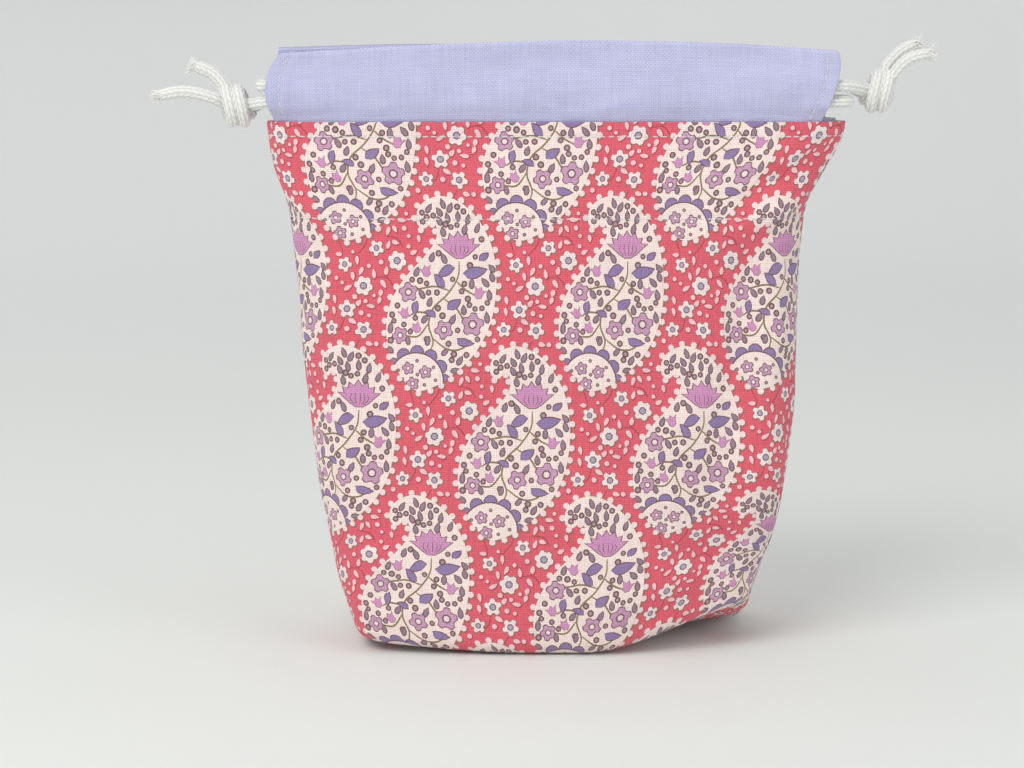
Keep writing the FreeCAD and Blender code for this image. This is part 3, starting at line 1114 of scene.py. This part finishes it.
def small_drop(art, x, y, angle, length, width, clip):
    """A drop with a dark edge."""
    art.add(drop(x, y, angle, length, width, 0.14), INK, clip)
    art.add(drop(x, y, angle, length - 0.36, width - 0.36), GREY_VIOLET, clip)


def five_petals(art, x, y, r, clip, turn):
    """A mauve flower of five petals with a pale eye."""
    art.add(blossom(x, y, 5, r, 0.34, turn, 0.2), INK, clip)
    art.add(blossom(x, y, 5, r - 0.12, 0.34, turn), MAUVE, clip)
    art.add(disc(x, y, r * 0.42), INK, clip)
    art.add(disc(x, y, r * 0.28, 7), BLOSSOM, clip)


def inside_spots(taken, rng, count):
    """Free places inside the boteh for its small dots, none close to another shape."""
    body = spline(BOTEH, 5, closed=True)
    out = []
    tries = 0
    while len(out) < count and tries < 9000:
        tries += 1
        p = np.array((rng.uniform(-15, 16), rng.uniform(-26, 28)))
        if not inside_polygon(p, body) or np.min(np.linalg.norm(body - p, axis=1)) < 1.35:
            continue
        is_drop = len(out) % 3 == 0
        room = 1.1 if is_drop else 0.74
        if all(math.hypot(p[0] - x, p[1] - y) > r + room for x, y, r in taken):
            out.append((p[0], p[1], is_drop))
            taken.append((p[0], p[1], 1.2 if is_drop else 0.9))
    return out


def inside_polygon(p, polygon):
    """Whether one point lies inside a closed outline."""
    x, y = polygon[:, 0], polygon[:, 1]
    x2, y2 = np.roll(x, -1), np.roll(y, -1)
    crosses = ((y > p[1]) != (y2 > p[1])) & (p[0] < (x2 - x) * (p[1] - y) / (y2 - y + 1e-12) + x)
    return int(crosses.sum()) % 2 == 1


def taken_places():
    """Circles that cover what is already drawn inside the boteh."""
    taken = [(x, y, r) for x, y, r in MAUVE_FLOWERS]
    taken += [(x, y + 0.6, s * 1.1) for x, y, _, s in TULIPS]
    for x, y, angle, length, width, _ in LEAVES:
        c, s = math.cos(angle) * length, math.sin(angle) * length
        taken += [(x + c * t, y + s * t, width * 0.5) for t in (0.2, 0.5, 0.8)]
    for vine in VINES:
        taken += [(p[0], p[1], 0.2) for p in spline(vine, 4)]
    taken += [(x, y, 1.2) for x, y, _ in TIP_DROPS]
    taken += [(CROWN[0], CROWN[1], 4.1), (1.4, 13.0, 2.3), (8.6, 13.0, 2.3)]
    taken += [(DOME[0], DOME[1], DOME[2] + 3.4)]
    return taken


def draw_dome(art, clip):
    """The foot of the boteh: a dome edged with scallops, flowers under it and drops standing round it."""
    x, y, r = DOME
    for k in range(9):
        angle = math.radians(-28 + 29 * k)
        cx = x + (r + 0.4) * math.cos(angle)
        cy = y + (r + 0.4) * math.sin(angle)
        art.add(disc(cx, cy, 2.05, 12), INK, clip)
        art.add(disc(cx, cy, 1.75, 12), PURPLE, clip)
        far = r + 4.0
        mid = angle + math.radians(14.5)
        small_drop(art, x + far * math.cos(mid), y + far * math.sin(mid), mid, 2.6, 1.5, clip)
    art.add(disc(x, y, r + 0.45, 36), INK, clip)
    art.add(disc(x, y, r + 0.1, 36), CREAM, clip)
    for dx, dy, size in DOME_FLOWERS:
        five_petals(art, x + dx, y + dy, size, clip, 0.3 + dx)
    for dx, dy in DOME_DOTS:
        ring_dot(art, x + dx, y + dy, 0.55, clip)


def draw_inside(art, clip, spots):
    """Vines, leaves and flowers inside one boteh."""
    rng = random.Random(404)
    for x, y, is_drop in spots:
        if is_drop:
            small_drop(art, x, y, rng.uniform(0.9, 2.3), rng.uniform(2.6, 3.2), 1.65, clip)
        else:
            ring_dot(art, x, y, rng.uniform(0.84, 1.06), clip)
    for vine in VINES:
        art.add(stroke(vine, 0.52), OLIVE, clip)
    for x, y, angle, length, width, bend in LEAVES:
        art.add(leaf(x, y, angle, length, width, bend, 0.2), INK, clip)
        art.add(leaf(x, y, angle, length - 0.25, width - 0.2, bend), PURPLE, clip)
    for x, y, angle, size in TULIPS:
        art.add(tulip(x, y - 0.1, angle, size + 0.18), INK, clip)
        art.add(tulip(x, y, angle, size), ORCHID, clip)
    for x, y, r in MAUVE_FLOWERS:
        five_petals(art, x, y, r, clip, x)
    for x, y, angle in TIP_DROPS:
        small_drop(art, x, y, angle, 2.9, 1.5, clip)
    x, y = CROWN
    art.add(lotus(x, y, 2.86), INK, clip)
    art.add(lotus(x, y, 2.64), ORCHID, clip)
    for lean, rise in CROWN_LINES:
        line = ((x + lean, 9.9), (x + lean * 2.2, 11.4), (x + lean * 1.9, y + rise))
        art.add(stroke(line, 0.2, 3), INK, clip)
    draw_dome(art, clip)


def boteh_edge():
    """Centres of the nubs round the boteh, a little way out from its edge."""
    line = spline(BOTEH, 12, closed=True)
    closed = np.vstack([line, line[:1]])
    far = distances(closed)
    count = int(round(far[-1] / NUB_PITCH))
    at = (np.arange(count) + 0.5) / count * far[-1]
    p = read_along(at, far, closed)
    q = read_along(at + 0.3, far, closed)
    t = (q - p) / np.linalg.norm(q - p, axis=1)[:, None]
    # The points run clockwise, so the way out is to the left of the way along.
    return p + np.column_stack([-t[:, 1], t[:, 0]]) * NUB_OUT


def draw_boteh(art, spots):
    """One boteh about its centre: its brown edge, its nubs, then the cream body with all that is in it."""
    body = spline(BOTEH, 5, closed=True)
    nubs = boteh_edge()
    swell = body - body.mean(axis=0)
    swell = swell / np.linalg.norm(swell, axis=1)[:, None] * 0.35
    art.add(body + swell + (0.28, -0.28), BROWN)
    for x, y in nubs:
        art.add(disc(x + 0.3, y - 0.34, NUB_RADIUS + 0.14), BROWN)
    for x, y in nubs:
        art.add(disc(x, y, NUB_RADIUS), NUB)
    clip = art.add(body, CREAM)
    draw_inside(art, clip, spots)


# Flowers on the ground between the botehs: x, y, petals and radius, then the stems.
GROUND_FLOWERS = (
    (27.0, 1.6, 6, 2.7), (36.8, 8.6, 6, 2.7), (22.4, -4.8, 5, 2.5), (21.4, 7.4, 5, 2.1),
    (18.0, -10.2, 5, 2.1), (27.2, -10.4, 5, 2.4), (30.8, 12.0, 5, 2.2),
)
GROUND_STEMS = (
    ((29.8, 3.6), (33.6, 4.0), (36.0, 1.0), (36.4, -3.0)),
    ((22.0, -7.0), (20.6, -10.4), (16.8, -11.6)),
    ((26.4, -13.0), (24.0, -16.8), (20.0, -19.0)),
    ((24.0, 9.0), (27.4, 12.6), (28.4, 15.0)),
    ((33.4, 15.4), (37.0, 14.6), (38.6, 12.2)),
    ((20.0, 19.4), (19.6, 15.0), (21.0, 10.6)),
)


def ground_spots(rng, count):
    """Free places on the ground of one repeat, for its drops and dots."""
    body = spline(BOTEH, 6, closed=True)
    across, down = np.array(REPEAT_ACROSS), np.array(REPEAT_DOWN)
    shifts = [i * across + j * down for i in (-2, -1, 0, 1, 2) for j in (-1, 0, 1)]
    taken = [(x, y, r + 0.2) for x, y, _, r in GROUND_FLOWERS]
    for stem in GROUND_STEMS:
        taken += [(p[0], p[1], 0.1) for p in spline(stem, 4)]
    out = []
    tries = 0
    while len(out) < count and tries < 12000:
        tries += 1
        p = rng.random() * across + rng.random() * down + (0.0, 20.5)
        clear = True
        for shift in shifts:
            q = p - shift
            if inside_polygon(q, body) or np.min(np.linalg.norm(body - q, axis=1)) < 2.9:
                clear = False
                break
            if any(math.hypot(q[0] - x, q[1] - y) < r + 0.95 for x, y, r in taken):
                clear = False
                break
        if clear:
            out.append(p)
            taken.append((p[0], p[1], 0.95))
    return out


def draw_ground(art, spots):
    """Stems, drops, dots and flowers on the ground of one repeat."""
    rng = random.Random(77)
    for stem in GROUND_STEMS:
        art.add(stroke(stem, 0.34), DARK_RED)
    for x, y in spots:
        kind = rng.random()
        angle = rng.uniform(0, 2 * math.pi)
        if kind < 0.55:
            length, width = rng.uniform(2.1, 2.8), rng.uniform(1.2, 1.5)
            art.add(drop(x + 0.14, y - 0.14, angle, length, width, 0.24), DARK_RED)
            art.add(drop(x, y, angle, length, width), PINK)
        else:
            r = rng.uniform(0.5, 0.78)
            art.add(disc(x + 0.14, y - 0.14, r + 0.24), DARK_RED)
            art.add(disc(x, y, r), PINK)
    for x, y, petals, r in GROUND_FLOWERS:
        turn = x * 1.7
        notch = 0.26 if petals == 6 else 0.42
        art.add(blossom(x + 0.15, y - 0.15, petals, r, notch, turn, 0.32), BROWN)
        art.add(blossom(x, y, petals, r, notch, turn), BLOSSOM)
        art.add(disc(x, y, r * 0.42), INK)
        art.add(disc(x, y, r * 0.3), FLOWER_EYE)


def repeat_shapes():
    """The shapes of one repeat about its boteh's centre: those on the ground, then the boteh."""
    ground, boteh = Print(), Print()
    draw_ground(ground, ground_spots(random.Random(32), 40))
    draw_boteh(boteh, inside_spots(taken_places(), random.Random(31), 130))
    return ground, boteh


def draw_print(repeat, shift):
    """The whole print over one panel."""
    art = Print()
    for part in repeat:
        for j in range(-5, 6):
            for i in range(-7, 8):
                x = BOTEH_PLACE[0] + shift[0] + i * REPEAT_ACROSS[0] + j * REPEAT_DOWN[0]
                y = BOTEH_PLACE[1] + shift[1] + i * REPEAT_ACROSS[1] + j * REPEAT_DOWN[1]
                if abs(x) < FLAT_HALF + 44 and -BASE_DEPTH - 44 < y < RIM_END + 44:
                    place_shapes(art, part, np.array((x, y)))
    return art


def place_shapes(art, part, place):
    """Adds a group of shapes at a place, leaving out those that lie off the panel."""
    moved = {-1: -1}
    for k, shape in enumerate(part.shapes):
        low, high = shape.min(axis=0) + place, shape.max(axis=0) + place
        off = high[0] < -FLAT_HALF or low[0] > FLAT_HALF or high[1] < -BASE_DEPTH or low[1] > RIM_END
        if not off and part.clips[k] in moved:
            moved[k] = art.add(shape + place, part.colours[k], moved[part.clips[k]])


TILE_COLUMNS = 6
TILE_ROWS = 5
BASE_COLUMNS = (1, 2, 3, 4)


# Levels at which the cloth turns sharply, over the rim and round the edge of the base.
FOLD_LINES = [RIM_START + RIM_RADIUS * math.pi * k / 5 for k in range(-1, 6)]
FOLD_LINES += [BASE_EDGE * k / 4 for k in range(1, 5)]


def tile_border(low, high, step=1.9):
    """Corner and edge points of a tile, in order, the same for the tiles on both sides of an edge."""
    xs = np.linspace(low[0], high[0], int((high[0] - low[0]) / step) + 1)
    ys = np.linspace(low[1], high[1], int((high[1] - low[1]) / step) + 1)
    bottom = [(x, low[1]) for x in xs[:-1]]
    right = [(high[0], y) for y in ys[:-1]]
    top = [(x, high[1]) for x in xs[:0:-1]]
    left = [(low[0], y) for y in ys[:0:-1]]
    return np.array(bottom + right + top + left)


def tile_fill(low, high, step=2.5):
    """Points inside a tile, so that no triangle is long."""
    rows = int((high[1] - low[1]) / (step * 0.866))
    columns = int((high[0] - low[0]) / step)
    out = []
    for i in range(1, rows):
        for j in range(1, columns):
            x = low[0] + (high[0] - low[0]) * (j + 0.4 * (i % 2) - 0.2) / columns
            out.append((x, low[1] + (high[1] - low[1]) * i / rows))
    return np.array(out)


def inside_shape(points, shape):
    """Which of the points lie inside a closed outline."""
    crossings = np.zeros(len(points), int)
    x, y = points[:, 0], points[:, 1]
    for (x1, y1), (x2, y2) in zip(shape, np.roll(shape, -1, axis=0)):
        if y1 != y2:
            span = (y1 > y) != (y2 > y)
            crossings += span & (x < (x2 - x1) * (y - y1) / (y2 - y1) + x1)
    return crossings % 2 == 1


def printed_tile(art, boxes, low, high):
    """Triangles of one tile of the print, cut along the edges of its shapes, and the colour of each."""
    near_x = (boxes[:, 0] < high[0]) & (boxes[:, 2] > low[0])
    near_y = (boxes[:, 1] < high[1]) & (boxes[:, 3] > low[1])
    near = np.nonzero(near_x & near_y)[0]
    outlines = [tile_border(low, high)] + [art.shapes[k] for k in near]
    points, edges = [], []
    for w in FOLD_LINES:
        if low[1] < w < high[1]:
            xs = np.linspace(low[0], high[0], 20)
            edges.extend((len(points) + k, len(points) + k + 1) for k in range(len(xs) - 1))
            points.extend(Vector((float(x), w)) for x in xs)
    for outline in outlines:
        start, count = len(points), len(outline)
        points.extend(Vector((float(p[0]), float(p[1]))) for p in outline)
        edges.extend((start + k, start + (k + 1) % count) for k in range(count))
    points.extend(Vector((float(p[0]), float(p[1]))) for p in tile_fill(low, high))
    made = delaunay_2d_cdt(points, edges, [], 0, 1e-5, False)
    flat = np.array([v[:] for v in made[0]])
    triangles = np.array(made[2])
    middle = flat[triangles].mean(axis=1)
    inside = np.all((middle > low) & (middle < high), axis=1)
    triangles, middle = triangles[inside], middle[inside]
    colour = np.zeros(len(middle), int)
    covered = {}
    for k in near:
        box = boxes[k]
        hit = np.nonzero(np.all((middle > box[:2]) & (middle < box[2:]), axis=1))[0]
        hit = hit[inside_shape(middle[hit], art.shapes[k])]
        clip = art.clips[k]
        if clip >= 0:
            hit = np.intersect1d(hit, covered.get(clip, np.array([], int)), assume_unique=True)
        colour[hit] = k + 1
        covered[k] = hit
    return flat, triangles, colour


def printed_mesh(name, cloth, repeat, shift):
    """The panel's mesh: its triangles follow the edges of the print, and each has one colour."""
    art = draw_print(repeat, shift)
    boxes = np.array([(*s.min(axis=0), *s.max(axis=0)) for s in art.shapes])
    xs = [-FLAT_HALF] + list(np.linspace(-BASE_HALF, BASE_HALF, TILE_COLUMNS - 1)) + [FLAT_HALF]
    ys = [-BASE_DEPTH] + list(np.linspace(0, RIM_END, TILE_ROWS + 1))
    all_flat, all_triangles, all_colours, total = [], [], [], 0
    for row in range(TILE_ROWS + 1):
        for column in range(TILE_COLUMNS) if row else BASE_COLUMNS:
            low = np.array((xs[column], ys[row]))
            high = np.array((xs[column + 1], ys[row + 1]))
            flat, triangles, colour = printed_tile(art, boxes, low, high)
            all_flat.append(flat)
            all_triangles.append(triangles + total)
            all_colours.append(colour)
            total += len(flat)
    flat, triangles, colour = np.vstack(all_flat), np.vstack(all_triangles), np.concatenate(all_colours)
    microns = np.round(flat * 1000).astype(np.int64)
    _, first, same = np.unique(microns, axis=0, return_index=True, return_inverse=True)
    flat, triangles = flat[first], same.reshape(-1)[triangles]
    sound = (triangles[:, 0] != triangles[:, 1]) & (triangles[:, 1] != triangles[:, 2])
    sound &= triangles[:, 0] != triangles[:, 2]
    triangles, colour = triangles[sound], colour[sound]
    used, triangles = np.unique(triangles, return_inverse=True)
    triangles = triangles.reshape(-1, 3)
    flat = flat[used]
    if cloth.side > 0:
        triangles = triangles[:, ::-1]
    verts = cloth.at(flat[:, 0], flat[:, 1])
    panel = new_object(name, verts, triangles, PRINTED)
    point_attribute(panel, "flat", np.column_stack([flat, np.zeros(len(flat))]))
    colours = [GROUND] + art.colours
    paint(panel, triangles, [colours[k] for k in colour])
    return panel


def paint(made, faces, colours):
    """One colour for each face, on its corners."""
    table = {c: srgb(*c) for c in set(colours)}
    layer = made.data.color_attributes.new("dye", "BYTE_COLOR", "CORNER")
    values = np.repeat(np.array([table[c] for c in colours], np.float32), 3, axis=0)
    if len(values) != len(layer.data):
        raise RuntimeError("faces were lost while the panel was made")
    layer.data.foreach_set("color", values.ravel())


def make_body():
    """Both printed panels; gives the surface of each."""
    made = {}
    repeat = repeat_shapes()
    for front, name in ((True, "outer_front_cloth"), (False, "outer_back_cloth")):
        cloth = Cloth(front)
        panel = printed_mesh(name, cloth, repeat, (0.0, 0.0) if front else (13.0, -17.0))
        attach(panel, "bag")
        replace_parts(panel, "outer_front_panel" if front else "outer_back_panel")
        print(name, len(panel.data.vertices), "verts", len(panel.data.polygons), "faces")
        made[front] = cloth
    return made


body = make_body()


# ---------------------------------------------------------------- lining and seams inside

def grid_mesh(name, points, material, flat, flip=False):
    """A cloth surface from rows and columns of points."""
    rows, columns = points.shape[:2]
    faces = grid_faces(rows, columns)
    if flip:
        faces = [f[::-1] for f in faces]
    made = new_object(name, points.reshape(-1, 3), faces, material)
    point_attribute(made, "flat", flat.reshape(-1, 3))
    return made


def sampled(cloth, u, w):
    """Surface points over a grid of flat distances."""
    uu, ww = np.meshgrid(u, w)
    return cloth.at(uu.ravel(), ww.ravel()).reshape(*uu.shape, 3), np.stack([uu, ww, 0 * uu], axis=-1)


LINING_INSET = 1.8


def make_lining():
    """The inner bag, front and back."""
    for front, name, node in (
        (True, "lining_front_cloth", "lining_front_panel"), (False, "lining_back_cloth", "lining_back_panel"),
    ):
        cloth = Cloth(front, inset=LINING_INSET, top_inset=1.7, fold=-1)
        u = np.linspace(-FLAT_HALF, FLAT_HALF, 141)
        wall_w = np.concatenate([np.linspace(0, RIM_START, 128), np.linspace(RIM_START, RIM_END, 10)[1:]])
        wall, wall_flat = sampled(cloth, u, wall_w)
        base_u = np.linspace(-BASE_HALF, BASE_HALF, 95)
        base, base_flat = sampled(cloth, base_u, np.linspace(-BASE_DEPTH, 0, 16))
        verts = np.vstack([wall.reshape(-1, 3), base.reshape(-1, 3)])
        offset = wall.shape[0] * wall.shape[1]
        faces = grid_faces(*wall.shape[:2])
        faces += [tuple(offset + v for v in f) for f in grid_faces(*base.shape[:2])]
        if front:
            faces = [f[::-1] for f in faces]
        made = new_object(name, verts, faces, LAVENDER)
        point_attribute(made, "flat", np.vstack([wall_flat.reshape(-1, 3), base_flat.reshape(-1, 3)]))
        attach(made, "bag")
        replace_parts(made, node)


def make_side_seams():
    """The seam allowances down each side, between the cotton and the lining."""
    w = np.linspace(6, 138, 90)
    for sign, name in ((-1, "side_seam_left"), (1, "side_seam_right")):
        halves = []
        for front in (True, False):
            cloth = Cloth(front, inset=0.9, rim=False)
            u = np.linspace(sign * 77.5, sign * FLAT_HALF, 8)
            points, flat = sampled(cloth, u if front else u[::-1], w)
            halves.append((points, flat))
        points = np.concatenate([halves[0][0], halves[1][0][:, 1:]], axis=1)
        flat = np.concatenate([halves[0][1], halves[1][1][:, 1:]], axis=1)
        finish_allowance(grid_mesh(name + "_allowance", points, ALLOWANCE, flat, flip=sign < 0), name)


def finish_allowance(made, node):
    """Gives a seam allowance its thickness and its place in the bag."""
    thick = made.modifiers.new("thickness", "SOLIDIFY")
    thick.thickness = 0.0003
    thick.offset = 0.0
    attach(made, "bag")
    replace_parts(made, node)


def make_base_seams():
    """The seam along the middle of the base, and the two that square its ends."""
    x = np.linspace(-47, 47, 64)
    y = np.linspace(-6, 6, 9)
    xx, yy = np.meshgrid(x, y)
    points = lift_corner(np.stack([xx, yy, 0.95 + 0.12 * np.sin(xx * 0.8) * np.abs(yy) / 6], axis=-1))
    finish_allowance(grid_mesh("base_seam_allowance", points, ALLOWANCE, points * (1, 1, 0)), "base_seam")
    for sign, name in ((-1, "box_corner_seam_left"), (1, "box_corner_seam_right")):
        along = np.linspace(-21, 21, 30)
        across = np.array([(44.0, 1.3), (46.0, 1.2), (47.6, 1.5), (49.0, 2.8), (50.2, 4.6), (51.6, 7.0)])
        yy, k = np.meshgrid(along, np.arange(len(across)))
        points = np.stack([sign * (across[k, 0] + 0.2), yy, across[k, 1]], axis=-1)
        points = lift_corner(points)
        flat = points * (1, 1, 0)
        finish_allowance(grid_mesh(name + "_allowance", points, ALLOWANCE, flat, flip=sign > 0), name)


make_lining()
make_side_seams()
make_base_seams()


# ---------------------------------------------------------------- casings

CASING_BOTTOM = 143.6
CASING_CLOTH = 0.45
HEM_WIDTH = 6.6
HEM_STITCH_IN = CASING_END - HEM_STITCH_X
# Where each end of a casing is at each height, how high its fold is along it, and half its thickness.
CASING_LEFT = {
    -1: (
        (143, -77.2), (147, -78.0), (151, -79.5), (155, -80.0),
        (160, -79.2), (163, -77.9), (165, -76.0), (169, -70.5),
    ),
    1: ((143, -77.6), (150, -78.4), (160, -78.2), (166, -77.4), (169, -77.0)),
}
CASING_RIGHT = {
    -1: ((143, 72.8), (147, 73.8), (152, 76.2), (158, 78.2), (163.5, 78.7), (166, 78.3), (169, 76.2)),
    1: ((143, 75.4), (150, 76.6), (160, 77.6), (166, 77.8), (169, 77.4)),
}
CASING_RIDGE = {
    -1: ((-80, 164.9), (-72, 165.7), (-32, 167.9), (0, 168.8), (40, 168.3), (66, 167.0), (80, 165.6)),
    1: ((-80, 166.5), (-60, 167.3), (-35, 167.7), (-15, 167.4), (0, 167.0), (40, 166.5), (80, 165.3)),
}
CASING_HALF_THICKNESS = (
    (142, 0.75), (146.6, 0.95), (149.0, 2.0), (151.2, 2.68),
    (156.8, 2.7), (159.2, 2.1), (163, 1.25), (172, 0.95),
)


class Casing:
    """One casing: a flattened tube of cloth, front (-1) or back (1)."""

    def __init__(self, side):
        self.side = side
        rim = body[side < 0].at(np.linspace(-FLAT_HALF, FLAT_HALF, 300), np.full(300, RIM_START))
        self.rim_x, self.rim_y = rim[:, 0], np.abs(rim[:, 1])

    def ends(self, z):
        """x of the left and the right end at a height."""
        return eased(CASING_LEFT[self.side], z, 2.0), eased(CASING_RIGHT[self.side], z, 2.0)

    def point(self, share, height, face, depth=0.0):
        """share goes from the left end to the right, height from seam (0) to fold (1); face is -1 outside."""
        rough_x = -79 + 158 * share
        top = eased(CASING_RIDGE[self.side], rough_x, 9.0)
        bottom = CASING_BOTTOM + depth
        z = bottom + (top - depth - bottom) * height
        left, right = self.ends(z)
        x = left + (right - left) * share
        from_end = np.minimum(x - left, right - x)
        half = eased(CASING_HALF_THICKNESS, z, 1.6)
        half = half + 0.16 * (1 - smooth(from_end, HEM_WIDTH - 0.4, HEM_WIDTH + 0.4))
        half = half - 0.16 * bump(from_end, HEM_STITCH_IN, 0.7) * (1 - smooth(z, 166, 168))
        half = np.maximum(half - depth, 0.12)
        fold = np.clip((top - depth - z) / 1.1, 0, 1)
        half = half * np.sqrt(np.maximum(1 - (1 - fold) ** 2, 0))
        outer = face < 0
        out = CASING_Y - face * half
        tucked = np.interp(x, self.rim_x, self.rim_y) - RIM_RADIUS * 2 - 0.25 - depth
        held = 1 - smooth(z, 145.6, 150.5)
        limit = np.minimum(CASING_Y + half, tucked * held + (CASING_Y + half) * (1 - held))
        out = np.where(outer, limit, np.minimum(out, limit - 2 * np.minimum(half, 0.6)))
        out = np.maximum(out, 0.35 + depth * 0.3)
        return np.stack([x, self.side * out + self.waves(x, z) * (1 - 0.9 * held), z], axis=-1)

    def waves(self, x, z):
        """Slow waves that both layers of the tube share, small where the seam holds it."""
        free = smooth(z, 147, 162)
        seed = 51 if self.side < 0 else 52
        out = 0.42 * wobble(x, z * 1.6, seed, (30, 75)) * (0.25 + 0.75 * free)
        out = out + 0.10 * wobble(x, z, seed + 4, (8, 20)) * (1 - 0.6 * free)
        if self.side < 0:
            arc = 150.5 + 5.0 * ((x - 6) / 13) ** 2
            out = out + 0.34 * bump(z, arc, 1.5) * bump(x, 6, 12)
            out = out - 0.28 * bump(z, arc - 2.4, 1.6) * bump(x, 6, 13)
            out = out + 0.4 * bump(x, 58 - (z - 150) * 0.7, 4.0) * free
        edge = np.minimum(smooth(x, -80, -60), 1 - smooth(x, 60, 80))
        return out * (0.35 + 0.65 * edge)


def loop_heights():
    """Heights up one face of the tube, from the seam (0) to the fold (1), closer together near the fold."""
    turn = np.linspace(0, math.pi / 2, 9)[1:]
    return np.concatenate([np.linspace(0, 0.93, 34), 1 - 0.07 * np.cos(turn)])


def casing_shell(casing, depth, share):
    """Points all round the tube: up its outside, over the fold and down its inside."""
    up = loop_heights()
    height = np.concatenate([up, up[-2::-1]])
    face = np.concatenate([np.full(len(up), -1.0), np.full(len(up) - 1, 1.0)])
    hh, ss = np.meshgrid(height, share)
    ff, _ = np.meshgrid(face, share)
    points = casing.point(ss, hh, ff, depth)
    return points, hh, ff


def make_casing(side, name, node):
    """A casing with cloth that has thickness, joined round both its open ends."""
    casing = Casing(side)
    ends = np.linspace(0, 0.05, 22)
    share = np.concatenate([ends, np.linspace(0.05, 0.95, 130)[1:-1], 1 - ends[::-1]])
    outer, hh, ff = casing_shell(casing, 0.0, share)
    inner, _, _ = casing_shell(casing, CASING_CLOTH, share)
    rows, columns = outer.shape[:2]
    verts = np.vstack([outer.reshape(-1, 3), inner.reshape(-1, 3)])
    offset = rows * columns
    faces = grid_faces(rows, columns, closed_columns=True)
    faces = faces + [tuple(offset + v for v in f[::-1]) for f in faces]
    for row in (0, rows - 1):
        for j in range(columns):
            a, b = row * columns + j, row * columns + (j + 1) % columns
            quad = (a, offset + a, offset + b, b)
            faces.append(quad if row == 0 else quad[::-1])
    if side > 0:
        faces = [f[::-1] for f in faces]
    made = new_object(name, verts, faces, LAVENDER)
    round_about = hh * 24.0 * ff
    flat = np.stack([outer[..., 0], round_about + 60, 0 * hh], axis=-1).reshape(-1, 3)
    point_attribute(made, "flat", np.vstack([flat, flat]))
    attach(made, "bag")
    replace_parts(made, node)
    return casing


casings = {
    -1: make_casing(-1, "casing_front_cloth", "casing_front"),
    1: make_casing(1, "casing_back_cloth", "casing_back"),
}


# ---------------------------------------------------------------- stitches

STITCH_PITCH = 2.45
STITCH_LENGTH = 1.95
THREAD_RADIUS = 0.19


def stitch_row(name, lines):
    """Separate stitches along lines on the cloth, each dipping into it at both ends."""
    verts, faces, flat = [], [], []
    around, steps = 6, 7
    rng = random.Random(len(lines) * 7 + len(name))
    for points, normals in lines:
        far = distances(points)
        for k in range(int(far[-1] / STITCH_PITCH)):
            centre = (k + 0.5) * STITCH_PITCH + rng.uniform(-0.12, 0.12)
            length = STITCH_LENGTH * rng.uniform(0.88, 1.06)
            at = centre + np.linspace(-length / 2, length / 2, steps)
            p = read_along(at, far, points)
            n = read_along(at, far, normals)
            t = np.gradient(p, axis=0)
            t /= np.linalg.norm(t, axis=1)[:, None]
            side = np.cross(t, n)
            side /= np.linalg.norm(side, axis=1)[:, None]
            bow = np.sin(np.linspace(0, math.pi, steps))
            slant = rng.uniform(-0.10, 0.10) * np.linspace(-1, 1, steps)
            p = p + n * (0.34 * bow - 0.16)[:, None] + side * slant[:, None]
            base = len(verts)
            for i in range(steps):
                r = THREAD_RADIUS * (0.62 + 0.38 * bow[i])
                for j in range(around):
                    a = 2 * math.pi * j / around
                    verts.append(p[i] + r * (math.cos(a) * side[i] + math.sin(a) * n[i]))
                    flat.append((at[i], a * r, 0))
            faces += [tuple(base + v for v in f) for f in grid_faces(steps, around, closed_columns=True)]
            faces.append(tuple(base + j for j in reversed(range(around))))
            faces.append(tuple(base + (steps - 1) * around + j for j in range(around)))
    made = new_object(name, np.array(verts), faces, THREAD)
    point_attribute(made, "flat", flat)
    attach(made, "bag")
    return made


def body_stitches(name, z, node):
    """A row of stitches all round the body at one height."""
    lines = []
    w = z + BASE_EDGE - BASE_RADIUS
    u = np.linspace(-FLAT_HALF + 0.6, FLAT_HALF - 0.6, 640)
    for front in (True, False):
        cloth = body[front]
        height = np.full(len(u), w)
        lines.append((cloth.at(u, height), cloth.normal(u, height)))
    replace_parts(stitch_row(name, lines), node)


def hem_stitches(name, side, left, node):
    """The stitches of one hem, on the outer layer, over the fold and on the layer towards the mouth."""
    casing = casings[side]
    height = np.concatenate([np.linspace(0.12, 0.96, 60), np.linspace(0.96, 0.12, 60)])
    face = np.concatenate([np.full(60, -1.0), np.full(60, 1.0)])
    lines = []
    for chosen in (face < 0, face > 0):
        h, f = height[chosen], face[chosen]
        rough = CASING_BOTTOM + (166.5 - CASING_BOTTOM) * h
        ends = casing.ends(rough)
        width = ends[1] - ends[0]
        share = HEM_STITCH_IN / width if left else 1 - HEM_STITCH_IN / width
        points = casing.point(share, h, f)
        beside = casing.point(share + 0.002, h, f)
        above = casing.point(share, h + 0.01, f)
        n = np.cross(beside - points, above - points)
        n /= np.linalg.norm(n, axis=1)[:, None]
        n = n * np.where(n[:, 1] * side * -f < 0, -1, 1)[:, None]
        lines.append((points, n))
    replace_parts(stitch_row(name, lines), node)


body_stitches("upper_stitches", UPPER_STITCH_Z, "upper_topstitch")
body_stitches("lower_stitches", LOWER_STITCH_Z, "lower_topstitch")
for hem_side, hem_name in ((-1, "front"), (1, "back")):
    for at_left, end_name in ((True, "left"), (False, "right")):
        where = "%s_%s" % (hem_name, end_name)
        hem_stitches("hem_stitches_" + where, hem_side, at_left, "hem_stitch_" + where)
